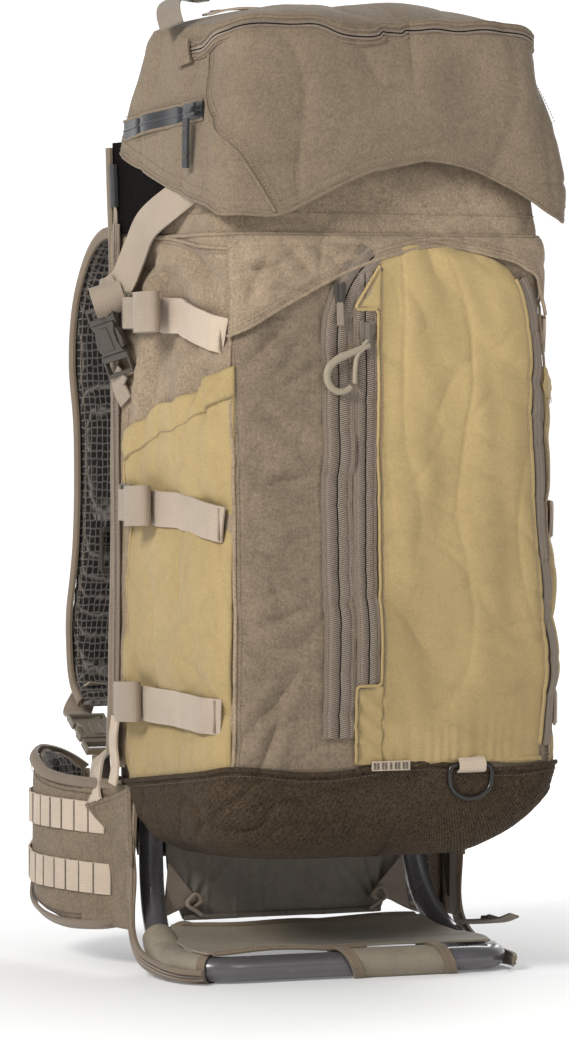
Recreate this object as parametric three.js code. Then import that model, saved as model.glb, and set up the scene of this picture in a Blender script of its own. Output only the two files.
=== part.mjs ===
// Hunting frame pack: a fabric bag with a lid and a harness on a bent tube whose lower end
// turns forward into a load shelf. Millimetres. +X is the wearer's right, +Y points from the
// pack to the wearer, +Z is up. The object stands on the front bar of its shelf loop.
import * as THREE from 'three';
import { mergeVertices } from 'three/addons/utils/BufferGeometryUtils.js';

// ---------- driving dimensions ----------
const GAP = 0.4;                // between neighbours that touch on the real pack
const WEB_W = 25;               // webbing width
const WEB_T = 2;                // webbing thickness

const TUBE_R = 10;
const UPRIGHT_X = 117;          // uprights, centre to middle of the pack
const FRAME_TOP_Z = 610;
const LOOP_X = 137;             // half width of the shelf loop, tube centre
const LOOP_Y = -140;            // front bar of the loop, tube centre
const LOOP_CORNER_R = 40;

const BAG_HALF_W = 143;
const BAG_FRONT_Y = -211;
const BAG_BACK_Y = -13;
const BASE_TOP_Z = 165;         // seam between the bag and its base
const BASE_LOW_Z = 110;
const SHOULDER_Z = 590;         // the bag is full width up to here, then the collar
const MOUTH_Z = 640;
const CLOTH_T = 3;

const LID_HALF_W = 150;
const LID_FRONT_Y = -217;
const LID_BACK_Y = 6;
const LID_TOP_Z = 781;
const HEM_BACK_Z = 662;         // lower edge of the lid at the back
const HEM_FRONT_Z = 607;        // and at its front corners
const HEM_ARCH = 42;            // cut-out in the middle of the front hem

const CROSSBAR_R = 8;
const CROSSBARS = [['upper_crossbar', 560], ['lower_crossbar', 190]];   // name, height
const SHEET_BACK_Y = 12.5;      // wearer's side of the frame sheet
const SHEET_W = 256;
const SHEET_H = 510;
const SHEET_MID_Z = 345;
const SLING_T = 2;              // coated cloth of the shelf
const PANEL_H = 124;            // load panel between the uprights
const PANEL_MID_Z = 108;

const ZIP_T = 2;
const OUTER_ZIP_X = -51;
const INNER_ZIP_X = -27.5;
const POCKET_T = 10;            // front pocket, packed
const SIDE_POCKET_T = 5;
const D_RING_X = 63;
const LADDER_LOCK_W = 31;       // across the webbing
const LADDER_LOCK_L = 20;
const STRAP_X = 93;             // middle of a shoulder strap
const STRAP_W = 62;
const STRAP_T = 12;
const WING_T = 14;

const STRAP_FACE_X = 151;       // inner face of the compression straps
const ROLL_R = 12;              // roll of spare webbing at a strap's end
const ROWS = [                  // compression straps: height at the back, fall to the front, roll
  { name: 'upper', z: 532, fall: 18, rollY: -66 },
  { name: 'middle', z: 378, fall: 12, rollY: -57 },
  { name: 'lower', z: 218, fall: 5, rollY: -47 },
];

// ---------- colours, roughness, metalness ----------
const FINISH = {
  ripstop: [0x8a7b66, 0.85, 0],
  twill: [0x5a4c3e, 0.85, 0],
  khaki: [0xb8a070, 0.8, 0],
  webbing: [0xb39f86, 0.75, 0],
  mesh: [0x3a332e, 0.9, 0],
  zip: [0x85745d, 0.6, 0],
  blackZip: [0x2e2f33, 0.45, 0],
  plastic: [0x5f5648, 0.5, 0],
  tube: [0x454347, 0.35, 0.8],
  steel: [0x3c3a3a, 0.35, 0.9],
  panel: [0x4a463c, 0.6, 0],
  sling: [0x7b7262, 0.6, 0],
  sheet: [0x2b2b2b, 0.6, 0],
};

const pack = new THREE.Group();

// Position-only copy of a geometry with merged vertices and its faces pointing out.
function outward(geometry) {
  const bare = new THREE.BufferGeometry();
  bare.setAttribute('position', geometry.getAttribute('position').clone());
  if (geometry.index) bare.setIndex(geometry.index.clone());
  const merged = mergeVertices(bare, 1e-3);
  const at = merged.getAttribute('position');
  const index = merged.index.array;
  const a = new THREE.Vector3();
  const b = new THREE.Vector3();
  const c = new THREE.Vector3();
  let volume = 0;
  for (let i = 0; i < index.length; i += 3) {
    a.fromBufferAttribute(at, index[i]);
    b.fromBufferAttribute(at, index[i + 1]);
    c.fromBufferAttribute(at, index[i + 2]);
    volume += a.dot(b.cross(c));
  }
  if (volume < 0) {
    for (let i = 0; i < index.length; i += 3) {
      const swap = index[i];
      index[i] = index[i + 1];
      index[i + 1] = swap;
    }
  }
  merged.computeVertexNormals();
  return merged;
}

function piece(name, finish, geometry, parent = pack) {
  const [color, roughness, metalness] = FINISH[finish];
  const material = new THREE.MeshStandardMaterial({ color, roughness, metalness });
  const mesh = new THREE.Mesh(outward(geometry), material);
  mesh.name = name;
  parent.add(mesh);
  return mesh;
}

// Skin over a list of rings with the same number of points; both ends are closed by a fan.
function loft(rings) {
  const count = rings[0].length;
  const points = rings.flat();
  const index = [];
  for (let r = 0; r + 1 < rings.length; r++) {
    for (let i = 0; i < count; i++) {
      const j = (i + 1) % count;
      const low = r * count;
      const high = low + count;
      index.push(low + i, low + j, high + j, low + i, high + j, high + i);
    }
  }
  for (const [first, flip] of [[0, true], [(rings.length - 1) * count, false]]) {
    const middle = new THREE.Vector3();
    for (let i = 0; i < count; i++) middle.addScaledVector(points[first + i], 1 / count);
    const centre = points.push(middle) - 1;
    for (let i = 0; i < count; i++) {
      const here = first + i;
      const next = first + (i + 1) % count;
      if (flip) index.push(centre, next, here);
      else index.push(centre, here, next);
    }
  }
  const geometry = new THREE.BufferGeometry().setFromPoints(points);
  geometry.setIndex(index);
  return geometry;
}

// Level rounded rectangle between two values of Y, symmetric in X; z may depend on the place.
function ring(halfW, frontY, backY, radius, z, arcSteps = 3) {
  const height = typeof z === 'function' ? z : () => z;
  const points = [];
  const corners = [
    [halfW - radius, frontY + radius, -90],
    [halfW - radius, backY - radius, 0],
    [radius - halfW, backY - radius, 90],
    [radius - halfW, frontY + radius, 180],
  ];
  for (const [cx, cy, start] of corners) {
    for (let i = 0; i <= arcSteps; i++) {
      const turn = THREE.MathUtils.degToRad(start + (90 * i) / arcSteps);
      const x = cx + radius * Math.cos(turn);
      const y = cy + radius * Math.sin(turn);
      points.push(new THREE.Vector3(x, y, height(x, y)));
    }
  }
  return points;
}

// Flat strip along a path. Either its width direction or the direction it faces is fixed.
function ribbon(path, width, thickness, { side = null, face = null }) {
  const rings = path.map((point, i) => {
    const before = path[Math.max(i - 1, 0)];
    const after = path[Math.min(i + 1, path.length - 1)];
    const along = after.clone().sub(before).normalize();
    const across = side ? side.clone() : along.clone().cross(face).normalize();
    const out = across.clone().cross(along).normalize();
    const corners = [[-1, -1], [1, -1], [1, 1], [-1, 1]];
    return corners.map(([w, t]) => point.clone()
      .addScaledVector(across, (w * width) / 2)
      .addScaledVector(out, (t * thickness) / 2));
  });
  return loft(rings);
}

// Smooth path through a few points.
function smooth(points, steps) {
  return new THREE.CatmullRomCurve3(points.map((p) => new THREE.Vector3(...p))).getSpacedPoints(steps);
}

// Plate with its outline in local X, Y and its thickness centred on local Z.
function plate(outline, thickness, holes = []) {
  const shape = new THREE.Shape(outline.map(([x, y]) => new THREE.Vector2(x, y)));
  for (const hole of holes) shape.holes.push(new THREE.Path(hole.map(([x, y]) => new THREE.Vector2(x, y))));
  const geometry = new THREE.ExtrudeGeometry(shape, { depth: thickness, bevelEnabled: false });
  return geometry.translate(0, 0, -thickness / 2);
}

// Soft-edged block: sizes along X, Y, Z, edges along Y rounded, faces chamfered.
function pad(w, d, h, radius, chamfer) {
  const shape = new THREE.Shape();
  const x = w / 2 - chamfer;
  const z = h / 2 - chamfer;
  shape.moveTo(-x + radius, -z);
  shape.lineTo(x - radius, -z);
  shape.absarc(x - radius, -z + radius, radius, -Math.PI / 2, 0);
  shape.lineTo(x, z - radius);
  shape.absarc(x - radius, z - radius, radius, 0, Math.PI / 2);
  shape.lineTo(-x + radius, z);
  shape.absarc(-x + radius, z - radius, radius, Math.PI / 2, Math.PI);
  shape.lineTo(-x, -z + radius);
  shape.absarc(-x + radius, -z + radius, radius, Math.PI, 1.5 * Math.PI);
  const geometry = new THREE.ExtrudeGeometry(shape, {
    depth: d - 2 * chamfer, bevelThickness: chamfer, bevelSize: chamfer, bevelSegments: 1, curveSegments: 3,
  });
  return geometry.translate(0, 0, -(d - 2 * chamfer) / 2).rotateX(Math.PI / 2);
}

function rectangle(w, h, cx = 0, cy = 0) {
  const [left, right, low, high] = [cx - w / 2, cx + w / 2, cy - h / 2, cy + h / 2];
  return [[left, low], [right, low], [right, high], [left, high]];
}

// ---------- frame and shelf ----------
// One bent tube: down the left upright, forward into the loop, across the front, and back up.
function frameTube() {
  const low = TUBE_R;
  const bendTopZ = 118;
  const half = [
    new THREE.LineCurve3(
      new THREE.Vector3(-UPRIGHT_X, 0, FRAME_TOP_Z), new THREE.Vector3(-UPRIGHT_X, 0, bendTopZ)),
    new THREE.CubicBezierCurve3(
      new THREE.Vector3(-UPRIGHT_X, 0, bendTopZ), new THREE.Vector3(-UPRIGHT_X - 1, 0, 55),
      new THREE.Vector3(-128, -30, low), new THREE.Vector3(-LOOP_X, LOOP_Y + LOOP_CORNER_R, low)),
    new THREE.CubicBezierCurve3(
      new THREE.Vector3(-LOOP_X, LOOP_Y + LOOP_CORNER_R, low),
      new THREE.Vector3(-LOOP_X, LOOP_Y + 14, low),
      new THREE.Vector3(-LOOP_X + 14, LOOP_Y, low),
      new THREE.Vector3(-LOOP_X + LOOP_CORNER_R, LOOP_Y, low)),
  ];
  const path = new THREE.CurvePath();
  for (const curve of half) path.add(curve);
  const leftEnd = half[2].getPoint(1);
  path.add(new THREE.LineCurve3(leftEnd, leftEnd.clone().setX(-leftEnd.x)));
  const mirror = (v) => new THREE.Vector3(-v.x, v.y, v.z);
  for (const { v0, v1, v2, v3 } of [half[2], half[1]]) {
    path.add(new THREE.CubicBezierCurve3(mirror(v3), mirror(v2), mirror(v1), mirror(v0)));
  }
  path.add(new THREE.LineCurve3(mirror(half[0].v2), mirror(half[0].v1)));
  const section = new THREE.Shape();
  const sides = 10;
  for (let i = 0; i < sides; i++) {
    const turn = (2 * Math.PI * i) / sides;
    const x = TUBE_R * Math.cos(turn);
    const y = TUBE_R * Math.sin(turn);
    if (i === 0) section.moveTo(x, y);
    else section.lineTo(x, y);
  }
  return new THREE.ExtrudeGeometry(section, { steps: 76, extrudePath: path, bevelEnabled: false });
}

function frame() {
  piece('frame_tube', 'tube', frameTube());
  const reach = 2 * (UPRIGHT_X - TUBE_R - GAP);
  for (const [name, z] of CROSSBARS) {
    const bar = new THREE.CylinderGeometry(CROSSBAR_R, CROSSBAR_R, reach, 10).rotateZ(Math.PI / 2);
    piece(name, 'tube', bar).position.set(0, 0, z);
  }
  const sheet = new THREE.BoxGeometry(SHEET_W, 2, SHEET_H);
  piece('frame_sheet', 'sheet', sheet).position.set(0, SHEET_BACK_Y - 1, SHEET_MID_Z);
}

function shelf() {
  const t = SLING_T;
  const stations = [          // half width, Y, height of the middle of the cloth
    [108, -31, 35], [113, -52, 24], [117, -76, 21], [124, LOOP_Y + TUBE_R + GAP, 21],
  ];
  const rings = stations.map(([w, y, z]) => [
    new THREE.Vector3(-w, y, z - t / 2), new THREE.Vector3(w, y, z - t / 2),
    new THREE.Vector3(w, y, z + t / 2), new THREE.Vector3(-w, y, z + t / 2),
  ]);
  piece('shelf_sling', 'sling', loft(rings));
  const panelHalfW = UPRIGHT_X - TUBE_R - GAP;
  const panel = new THREE.BoxGeometry(2 * panelHalfW, t, PANEL_H);
  piece('load_panel', 'panel', panel).position.set(0, 0, PANEL_MID_Z);
  for (const [name, s] of [['left', -1], ['right', 1]]) {
    const path = smooth([
      [s * 146, -20, 158], [s * 145.5, -22, 110], [s * 144, -22, 62], [s * 145, -34, 36],
      [s * 149, -62, 24], [s * 150, -100, 16],
    ], 10);
    piece(`side_curtain_${name}`, 'zip', ribbon(path, 20, 1.5, { face: new THREE.Vector3(1, 0, 0) }));
  }
}

// ---------- bag ----------
function bag() {
  const walls = [             // z, half width, front Y, back Y, corner radius
    [BASE_TOP_Z + GAP, BAG_HALF_W, BAG_FRONT_Y + 3, BAG_BACK_Y, 24],
    [300, BAG_HALF_W, BAG_FRONT_Y, BAG_BACK_Y, 22],
    [480, BAG_HALF_W - 4, BAG_FRONT_Y, BAG_BACK_Y, 22],
    [SHOULDER_Z, BAG_HALF_W, BAG_FRONT_Y + 2, BAG_BACK_Y, 24],
    [MOUTH_Z, 122, -190, -22, 40],
  ];
  const outer = walls.map(([z, w, f, b, r]) => ring(w, f, b, r, z));
  const inner = walls.map(([z, w, f, b, r], i) => ring(
    w - CLOTH_T, f + CLOTH_T, b - CLOTH_T, r - CLOTH_T, i ? z : z + CLOTH_T));
  piece('bag_shell', 'ripstop', loft([...outer, ...inner.reverse()]));

  piece('bag_base', 'twill', loft([
    ring(96, -166, -42, 30, BASE_LOW_Z),
    ring(120, -188, -26, 34, BASE_LOW_Z + 4),
    ring(137, -203, -16, 34, BASE_LOW_Z + 20),
    ring(BAG_HALF_W + 1, -210, BAG_BACK_Y, 26, BASE_LOW_Z + 42),
    ring(BAG_HALF_W + 1, -210, BAG_BACK_Y, 26, BASE_TOP_Z),
  ]));

  const face = BAG_FRONT_Y - GAP;
  const arch = [[-17, 178], [120, 178], [130, 200], [130, 330], [118, 400], [122, 530]];
  for (let i = 0; i <= 5; i++) {
    const turn = (Math.PI * (0.14 + 0.74 * (i / 5)));
    arch.push([52 + 74 * Math.cos(turn), 521 + 59 * Math.sin(turn)]);
  }
  arch.push([-17, 528]);
  piece('front_pocket', 'khaki', plate(arch, POCKET_T).rotateX(Math.PI / 2))
    .position.set(0, face - POCKET_T / 2, 0);
  const zips = [              // name, middle, width, lower and upper end
    ['outer_zip', OUTER_ZIP_X, 26, 198, 562],
    ['inner_zip', INNER_ZIP_X, 17, 214, 530],
  ];
  for (const [name, x, w, low, high] of zips) {
    const tape = new THREE.BoxGeometry(w, ZIP_T, high - low);
    piece(name, 'zip', tape).position.set(x, face - ZIP_T / 2, (low + high) / 2);
  }
  const sideOutline = [[-50, 160], [-204, 160], [-206, 470], [-150, 462], [-46, 430]];
  for (const [name, s] of [['left', -1], ['right', 1]]) {
    const skin = plate(sideOutline, SIDE_POCKET_T).applyMatrix4(new THREE.Matrix4().makeBasis(
      new THREE.Vector3(0, 1, 0), new THREE.Vector3(0, 0, 1), new THREE.Vector3(s, 0, 0)));
    piece(`side_pocket_${name}`, 'khaki', skin)
      .position.set(s * (BAG_HALF_W + 1.5 + SIDE_POCKET_T / 2), 0, 0);
  }
}

// Webbing strap from the front corner to a roll of spare webbing, seen from above.
function strapOutline(frontY, rollY) {
  const meet = Math.asin((WEB_T - ROLL_R) / ROLL_R);
  const points = [[frontY, 0], [rollY, 0]];
  const steps = 9;
  for (let i = 1; i <= steps; i++) {
    const turn = -Math.PI / 2 + ((1.5 * Math.PI - meet) * i) / steps;
    points.push([rollY + ROLL_R * Math.cos(turn), ROLL_R + ROLL_R * Math.sin(turn)]);
  }
  points.push([frontY, WEB_T]);
  return points;
}

function compressionStraps() {
  const frontY = BAG_FRONT_Y + 4;
  for (const [sideName, s] of [['left', -1], ['right', 1]]) {
    const turned = new THREE.Matrix4().makeBasis(
      new THREE.Vector3(0, 1, 0), new THREE.Vector3(s, 0, 0), new THREE.Vector3(0, 0, 1));
    for (const row of ROWS) {
      const slope = Math.atan2(row.fall, row.rollY - frontY);
      const strap = piece(`${row.name}_strap_${sideName}`, 'webbing',
        plate(strapOutline(frontY - row.rollY, 0), WEB_W).applyMatrix4(turned));
      strap.position.set(s * STRAP_FACE_X, row.rollY, row.z);
      strap.rotation.x = slope;
      const slots = [rectangle(3, WEB_W, -4), rectangle(3, WEB_W - 2, 4, 0.5)];
      const lock = piece(`${row.name}_lock_${sideName}`, 'plastic',
        plate(rectangle(LADDER_LOCK_L, LADDER_LOCK_W), 4, slots).applyMatrix4(new THREE.Matrix4().makeBasis(
          new THREE.Vector3(0, 1, 0), new THREE.Vector3(0, 0, 1), new THREE.Vector3(s, 0, 0))));
      lock.position.set(s * (STRAP_FACE_X + 2), row.rollY + ROLL_R + 12, row.z);
    }
  }
}

function baseHardware() {
  const barY = BAG_FRONT_Y - 8;
  const barZ = 172;
  const x = D_RING_X;
  const rod = 2.2;
  const halfW = 18;
  const outline = [];
  const inside = [];
  for (let i = 0; i <= 8; i++) {
    const turn = Math.PI + (Math.PI * i) / 8;
    outline.push([(halfW + rod) * Math.cos(turn), -8 + (halfW + rod) * Math.sin(turn)]);
    inside.push([(halfW - rod) * Math.cos(turn), -8 + (halfW - rod) * Math.sin(turn)]);
  }
  outline.push([halfW + rod, rod], [-halfW - rod, rod]);
  inside.push([halfW - rod, -rod], [-halfW + rod, -rod]);
  const ringMesh = piece('d_ring', 'steel', plate(outline, 2 * rod, [inside]).rotateX(Math.PI / 2));
  ringMesh.position.set(x, barY, barZ);
  const loopOut = [];
  const loopIn = [];
  for (let i = 0; i <= 8; i++) {
    const turn = Math.PI + (Math.PI * i) / 8;
    loopOut.push([5.6 * Math.cos(turn), 5.6 * Math.sin(turn)]);
  }
  loopOut.push([5.6, 5], [-5.6, 5]);
  for (let i = 0; i < 12; i++) {
    const turn = (2 * Math.PI * i) / 12;
    loopIn.push([3.7 * Math.cos(turn), 3.7 * Math.sin(turn)]);
  }
  const tab = plate(loopOut, 25, [loopIn]).applyMatrix4(new THREE.Matrix4().makeBasis(
    new THREE.Vector3(0, 1, 0), new THREE.Vector3(0, 0, 1), new THREE.Vector3(1, 0, 0)));
  piece('d_ring_tab', 'webbing', tab).position.set(x, barY, barZ);
}

// ---------- zip sliders on the bag ----------
function bagSliders() {
  const tapeFace = BAG_FRONT_Y - GAP - ZIP_T - GAP;
  const thin = new THREE.BoxGeometry(11, 2.4, 16);
  piece('outer_zip_slider', 'zip', thin).position.set(OUTER_ZIP_X, tapeFace - 1.2, 545);
  const inner = new THREE.BoxGeometry(11, 3.4, 20);
  piece('inner_zip_slider', 'zip', inner).position.set(INNER_ZIP_X, tapeFace - 1.7, 512);
  const pullY = tapeFace - 6.2;
  const steps = 10;
  const arcs = [[14, 66, 325], [9.5, 325, 50]];   // radius, from and to in degrees
  const hook = [[23, 26], [20, 29]];
  for (const [radius, from, to] of arcs) {
    for (let i = 0; i <= steps; i++) {
      const turn = THREE.MathUtils.degToRad(THREE.MathUtils.lerp(from, to, i / steps));
      hook.push([radius * Math.cos(turn), radius * Math.sin(turn)]);
    }
  }
  const pull = plate(hook, 4).rotateX(Math.PI / 2);
  piece('inner_zip_pull', 'plastic', pull).position.set(OUTER_ZIP_X, pullY, 479);
  const side = new THREE.BoxGeometry(3.5, 8, 16);
  piece('side_zip_slider', 'zip', side).position.set(-146, -3, 582);
}

// ---------- lid ----------
const LID_SKIN = [            // z, half width, front Y, back Y, corner radius, from the top down
  [LID_TOP_Z, 60, -140, -60, 30],
  [776, 108, -176, -30, 40],
  [757, 138, -201, -9, 36],
  [735, 146, -212, 2, 30],
  [700, LID_HALF_W, LID_FRONT_Y + 1, LID_BACK_Y, 26],
];

// Height of the lid's hem: it falls from back to front and arches over the middle of the front.
function hemZ(x, y) {
  const forward = (LID_BACK_Y - y) / (LID_BACK_Y - LID_FRONT_Y);
  const arch = y < LID_FRONT_Y + 30 ? HEM_ARCH * Math.cos((Math.PI * x) / (2 * LID_HALF_W)) ** 2 : 0;
  return THREE.MathUtils.lerp(HEM_BACK_Z, HEM_FRONT_Z, forward) + arch;
}

// Ring with extra points along its front edge, so that the hem can arch.
function lidRing(halfW, frontY, backY, radius, z) {
  const corners = ring(halfW, frontY, backY, radius, z);
  const height = typeof z === 'function' ? z : () => z;
  const extra = [];
  const count = 7;
  for (let i = 1; i <= count; i++) {
    const x = THREE.MathUtils.lerp(radius - halfW, halfW - radius, i / (count + 1));
    extra.push(new THREE.Vector3(x, frontY, height(x, frontY)));
  }
  return [...corners, ...extra];
}

function lid() {
  const t = CLOTH_T;
  const skin = LID_SKIN.map(([z, w, f, b, r]) => lidRing(w, f, b, r, z));
  const hem = [LID_HALF_W, LID_FRONT_Y, LID_BACK_Y, 24];
  skin.push(lidRing(...hem, hemZ));
  skin.push(lidRing(hem[0] - t, hem[1] + t, hem[2] - t, hem[3] - t, hemZ));
  skin.push(lidRing(hem[0] - t - 1, hem[1] + t + 2, hem[2] - t - 1, hem[3] - t, 671));
  piece('lid', 'ripstop', loft(skin));

  // Long coil zip, on the slope below the lid's top, round its left side, front and right side.
  const band = (z, out) => {
    const share = (757 - z) / 22;
    const mix = (i) => THREE.MathUtils.lerp(LID_SKIN[2][i], LID_SKIN[3][i], share);
    return ring(mix(1) + out, mix(2) - out, mix(3) + out, mix(4) + out, z);
  };
  const order = (points) => [...points.slice(12), ...points.slice(0, 4)];
  const sides = [band(739, 0.6), band(739, 2.4), band(753, 2.4), band(753, 0.6)].map(order);
  const stations = sides[0].map((_, i) => sides.map((side) => side[i]));
  const tail = (corner, y) => corner.map((p) => p.clone().setY(y));
  piece('lid_zip', 'zip', loft([tail(stations[0], -110), ...stations, tail(stations[7], -120)]));

  const strip = new THREE.BoxGeometry(2, 160, 15).rotateX(-0.075);
  piece('lid_pocket_zip', 'blackZip', strip).position.set(-LID_HALF_W - 1.6, -96, 682);
  const slider = new THREE.BoxGeometry(3, 14, 11);
  piece('lid_pocket_slider', 'blackZip', slider).position.set(-LID_HALF_W - 4.6, -164, 687.3);
  const puller = new THREE.BoxGeometry(2.4, 10, 40);
  piece('lid_pocket_puller', 'blackZip', puller).position.set(-LID_HALF_W - 7.6, -162, 661);

  const top = [[-92, -52, 781.5], [-60, -52, 783.5], [90, -52, 783.5], [112, -52, 779.5]];
  const across = new THREE.Vector3(0, 1, 0);
  const path = top.map((p) => new THREE.Vector3(...p));
  piece('lid_top_webbing', 'webbing', ribbon(path, 20, WEB_T, { side: across }));
  const buckle = plate(rectangle(20, 30), 4, [rectangle(3, 24, -4), rectangle(3, 22, 4, 0.5)]);
  piece('lid_top_buckle', 'plastic', buckle.rotateY(-0.25)).position.set(-106, -52, 782);
}

// Strap from the lid's side hem down to its buckle at the back edge of the bag.
function lidStraps() {
  for (const [name, s] of [['left', -1], ['right', 1]]) {
    const x = s * (LID_HALF_W + 1.6);
    const path = smooth([[x, -118, 622], [x, -100, 600], [x, -72, 578], [x, -36, 566], [x, -8, 560]], 8);
    const face = new THREE.Vector3(1, 0, 0);
    piece(`lid_strap_${name}`, 'webbing', ribbon(path, WEB_W, WEB_T, { face }));
    const buckle = pad(9, 30, 46, 2, 1.5);
    piece(`lid_strap_buckle_${name}`, 'plastic', buckle).position.set(s * (LID_HALF_W + 5), 12, 515);
  }
}

// ---------- harness ----------
function backPads() {
  for (const [name, s] of [['left', -1], ['right', 1]]) {
    const cushion = pad(66, 20, 250, 14, 5);
    piece(`back_pad_${name}`, 'mesh', cushion).position.set(s * 50, SHEET_BACK_Y + 10.5, 418);
  }
  piece('lumbar_pad', 'mesh', pad(190, 26, 100, 18, 6)).position.set(0, SHEET_BACK_Y + 13.5, 160);
  const sag = [];
  for (let i = 0; i <= 10; i++) {
    const turn = Math.PI + (Math.PI * i) / 10;
    sag.push(new THREE.Vector3(44 * Math.cos(turn), 48, 572 + 40 * Math.sin(turn)));
  }
  piece('haul_handle', 'webbing', ribbon(sag, 22, 3, { side: new THREE.Vector3(0, 1, 0) }));
}

function shoulderStraps() {
  const across = new THREE.Vector3(1, 0, 0);
  for (const [name, s] of [['left', -1], ['right', 1]]) {
    const path = smooth([
      [s * STRAP_X, 22, 570], [s * STRAP_X, 40, 588], [s * STRAP_X, 74, 597], [s * STRAP_X, 110, 580],
      [s * STRAP_X, 137, 540], [s * STRAP_X, 144, 490], [s * STRAP_X, 134, 430],
      [s * STRAP_X, 139, 340], [s * STRAP_X, 160, 262], [s * STRAP_X, 163, 225], [s * STRAP_X, 143, 204],
    ], 26);
    piece(`shoulder_strap_${name}`, 'mesh', ribbon(path, STRAP_W, STRAP_T, { side: across }));
    const slider = pad(34, 7, 40, 4, 1.5);
    piece(`sternum_slider_${name}`, 'plastic', slider).position.set(s * 92, 123.5, 335);
    const buckle = pad(32, 11, 50, 5, 2).rotateX(-1.05);
    piece(`strap_buckle_${name}`, 'plastic', buckle).position.set(s * 122, 104, 183);
  }
}

// Hip belt wings: upright padded walls that run back from the lumbar pad and curl inwards.
function hipWings() {
  const plan = [[139, 4, 34, 150], [150, 40, 30, 150], [156, 84, 29, 151], [156, 122, 34, 155],
    [148, 158, 46, 164], [132, 180, 74, 166], [108, 187, 92, 158], [92, 187, 102, 148]];
  for (const [name, s] of [['left', -1], ['right', 1]]) {
    const rings = plan.map(([x, y, low, high], i) => {
      const before = plan[Math.max(i - 1, 0)];
      const after = plan[Math.min(i + 1, plan.length - 1)];
      const along = new THREE.Vector2(after[0] - before[0], after[1] - before[1]).normalize();
      const nx = (-along.y * WING_T) / 2;
      const ny = (along.x * WING_T) / 2;
      const at = (side, z, inset) => new THREE.Vector3(s * (x + side * nx * inset), y + side * ny * inset, z);
      const soft = 5;
      return [at(1, low, 0.5), at(1, low + soft, 1), at(1, high - soft, 1), at(1, high, 0.5),
        at(-1, high, 0.5), at(-1, high - soft, 1), at(-1, low + soft, 1), at(-1, low, 0.5)];
    });
    piece(`hip_wing_${name}`, 'twill', loft(rings));
    const buckle = pad(40, 12, 34, 4, 2);
    piece(`belt_buckle_${name}`, 'plastic', buckle).position.set(s * 68, 186, 125);
  }
}

frame();
shelf();
bag();
compressionStraps();
baseHardware();
bagSliders();
lid();
lidStraps();
backPads();
shoulderStraps();
hipWings();

// The origin is the middle of the footprint box, on the surface that the shelf loop stands on.
pack.updateMatrixWorld(true);
const whole = new THREE.Box3().setFromObject(pack, true);
const middle = whole.getCenter(new THREE.Vector3());
pack.position.set(0, -middle.y, -whole.min.z);

export default pack;
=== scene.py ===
import math

import bpy
import numpy as np
from mathutils import Matrix, Vector


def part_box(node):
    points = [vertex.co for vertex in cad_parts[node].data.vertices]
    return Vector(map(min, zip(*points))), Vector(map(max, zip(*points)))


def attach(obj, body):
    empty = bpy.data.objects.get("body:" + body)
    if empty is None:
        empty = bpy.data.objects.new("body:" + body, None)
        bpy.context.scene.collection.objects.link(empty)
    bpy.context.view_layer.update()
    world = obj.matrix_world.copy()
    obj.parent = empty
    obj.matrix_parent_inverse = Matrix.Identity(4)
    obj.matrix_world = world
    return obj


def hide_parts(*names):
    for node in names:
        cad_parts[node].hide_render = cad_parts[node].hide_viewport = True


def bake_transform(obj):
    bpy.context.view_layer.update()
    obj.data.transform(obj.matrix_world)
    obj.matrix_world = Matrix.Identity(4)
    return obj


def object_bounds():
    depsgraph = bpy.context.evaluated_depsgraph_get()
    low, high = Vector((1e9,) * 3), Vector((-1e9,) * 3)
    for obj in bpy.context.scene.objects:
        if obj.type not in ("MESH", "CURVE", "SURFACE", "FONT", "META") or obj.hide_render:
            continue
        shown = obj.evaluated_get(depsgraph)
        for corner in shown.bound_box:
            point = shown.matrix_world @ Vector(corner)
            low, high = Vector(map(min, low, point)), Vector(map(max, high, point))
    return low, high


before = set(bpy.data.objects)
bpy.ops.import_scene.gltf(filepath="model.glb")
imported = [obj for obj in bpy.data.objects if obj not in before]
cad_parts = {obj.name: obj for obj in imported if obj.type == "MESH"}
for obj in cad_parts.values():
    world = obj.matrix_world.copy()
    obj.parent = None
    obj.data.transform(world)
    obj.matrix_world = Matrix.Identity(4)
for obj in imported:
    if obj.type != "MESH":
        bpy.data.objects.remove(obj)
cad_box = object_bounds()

# Everything is in metres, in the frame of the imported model: +X the wearer's right, +Y the wearer,
# +Z up. Places are worked out from the CAD boxes.
MM = 0.001
UP = np.array((0.0, 0.0, 1.0))
SEED = 7

LEFT, RIGHT = -1, 1
SIDES = ((LEFT, "left"), (RIGHT, "right"))


def box(name):
    """Low and high corner of a CAD node."""
    return [np.array(corner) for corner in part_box(name)]


BAG_LO, BAG_HI = box("bag_shell")
LID_HI = box("lid")[1]
Y0 = BAG_HI[1] + 13 * MM               # the plane of the uprights


# ---------- camera, light, floor ----------
LENS = 191                             # millimetres on a 36 mm wide sensor
AZIMUTH = math.radians(-25)            # of the camera, and of the wall behind the floor
DISTANCE, EYE_Z, AIM_Z = 4.5, 0.480, 0.3565
WALL_AT, WALL_RADIUS, WALL_HEIGHT = 2.4, 1.6, 2.6
FLOOR_REACH = 6.0


def camera():
    data = bpy.data.cameras.new("camera")
    data.sensor_width = 36
    data.lens = LENS
    data.clip_end = 50
    cam = bpy.data.objects.new("camera", data)
    bpy.context.collection.objects.link(cam)
    bpy.context.scene.camera = cam
    aim = Vector((-0.044, Y0 - 0.10, AIM_Z))
    cam.location = (aim.x + math.sin(AZIMUTH) * DISTANCE, aim.y - math.cos(AZIMUTH) * DISTANCE, EYE_Z)
    cam.rotation_euler = (aim - cam.location).to_track_quat("-Z", "Y").to_euler()


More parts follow.
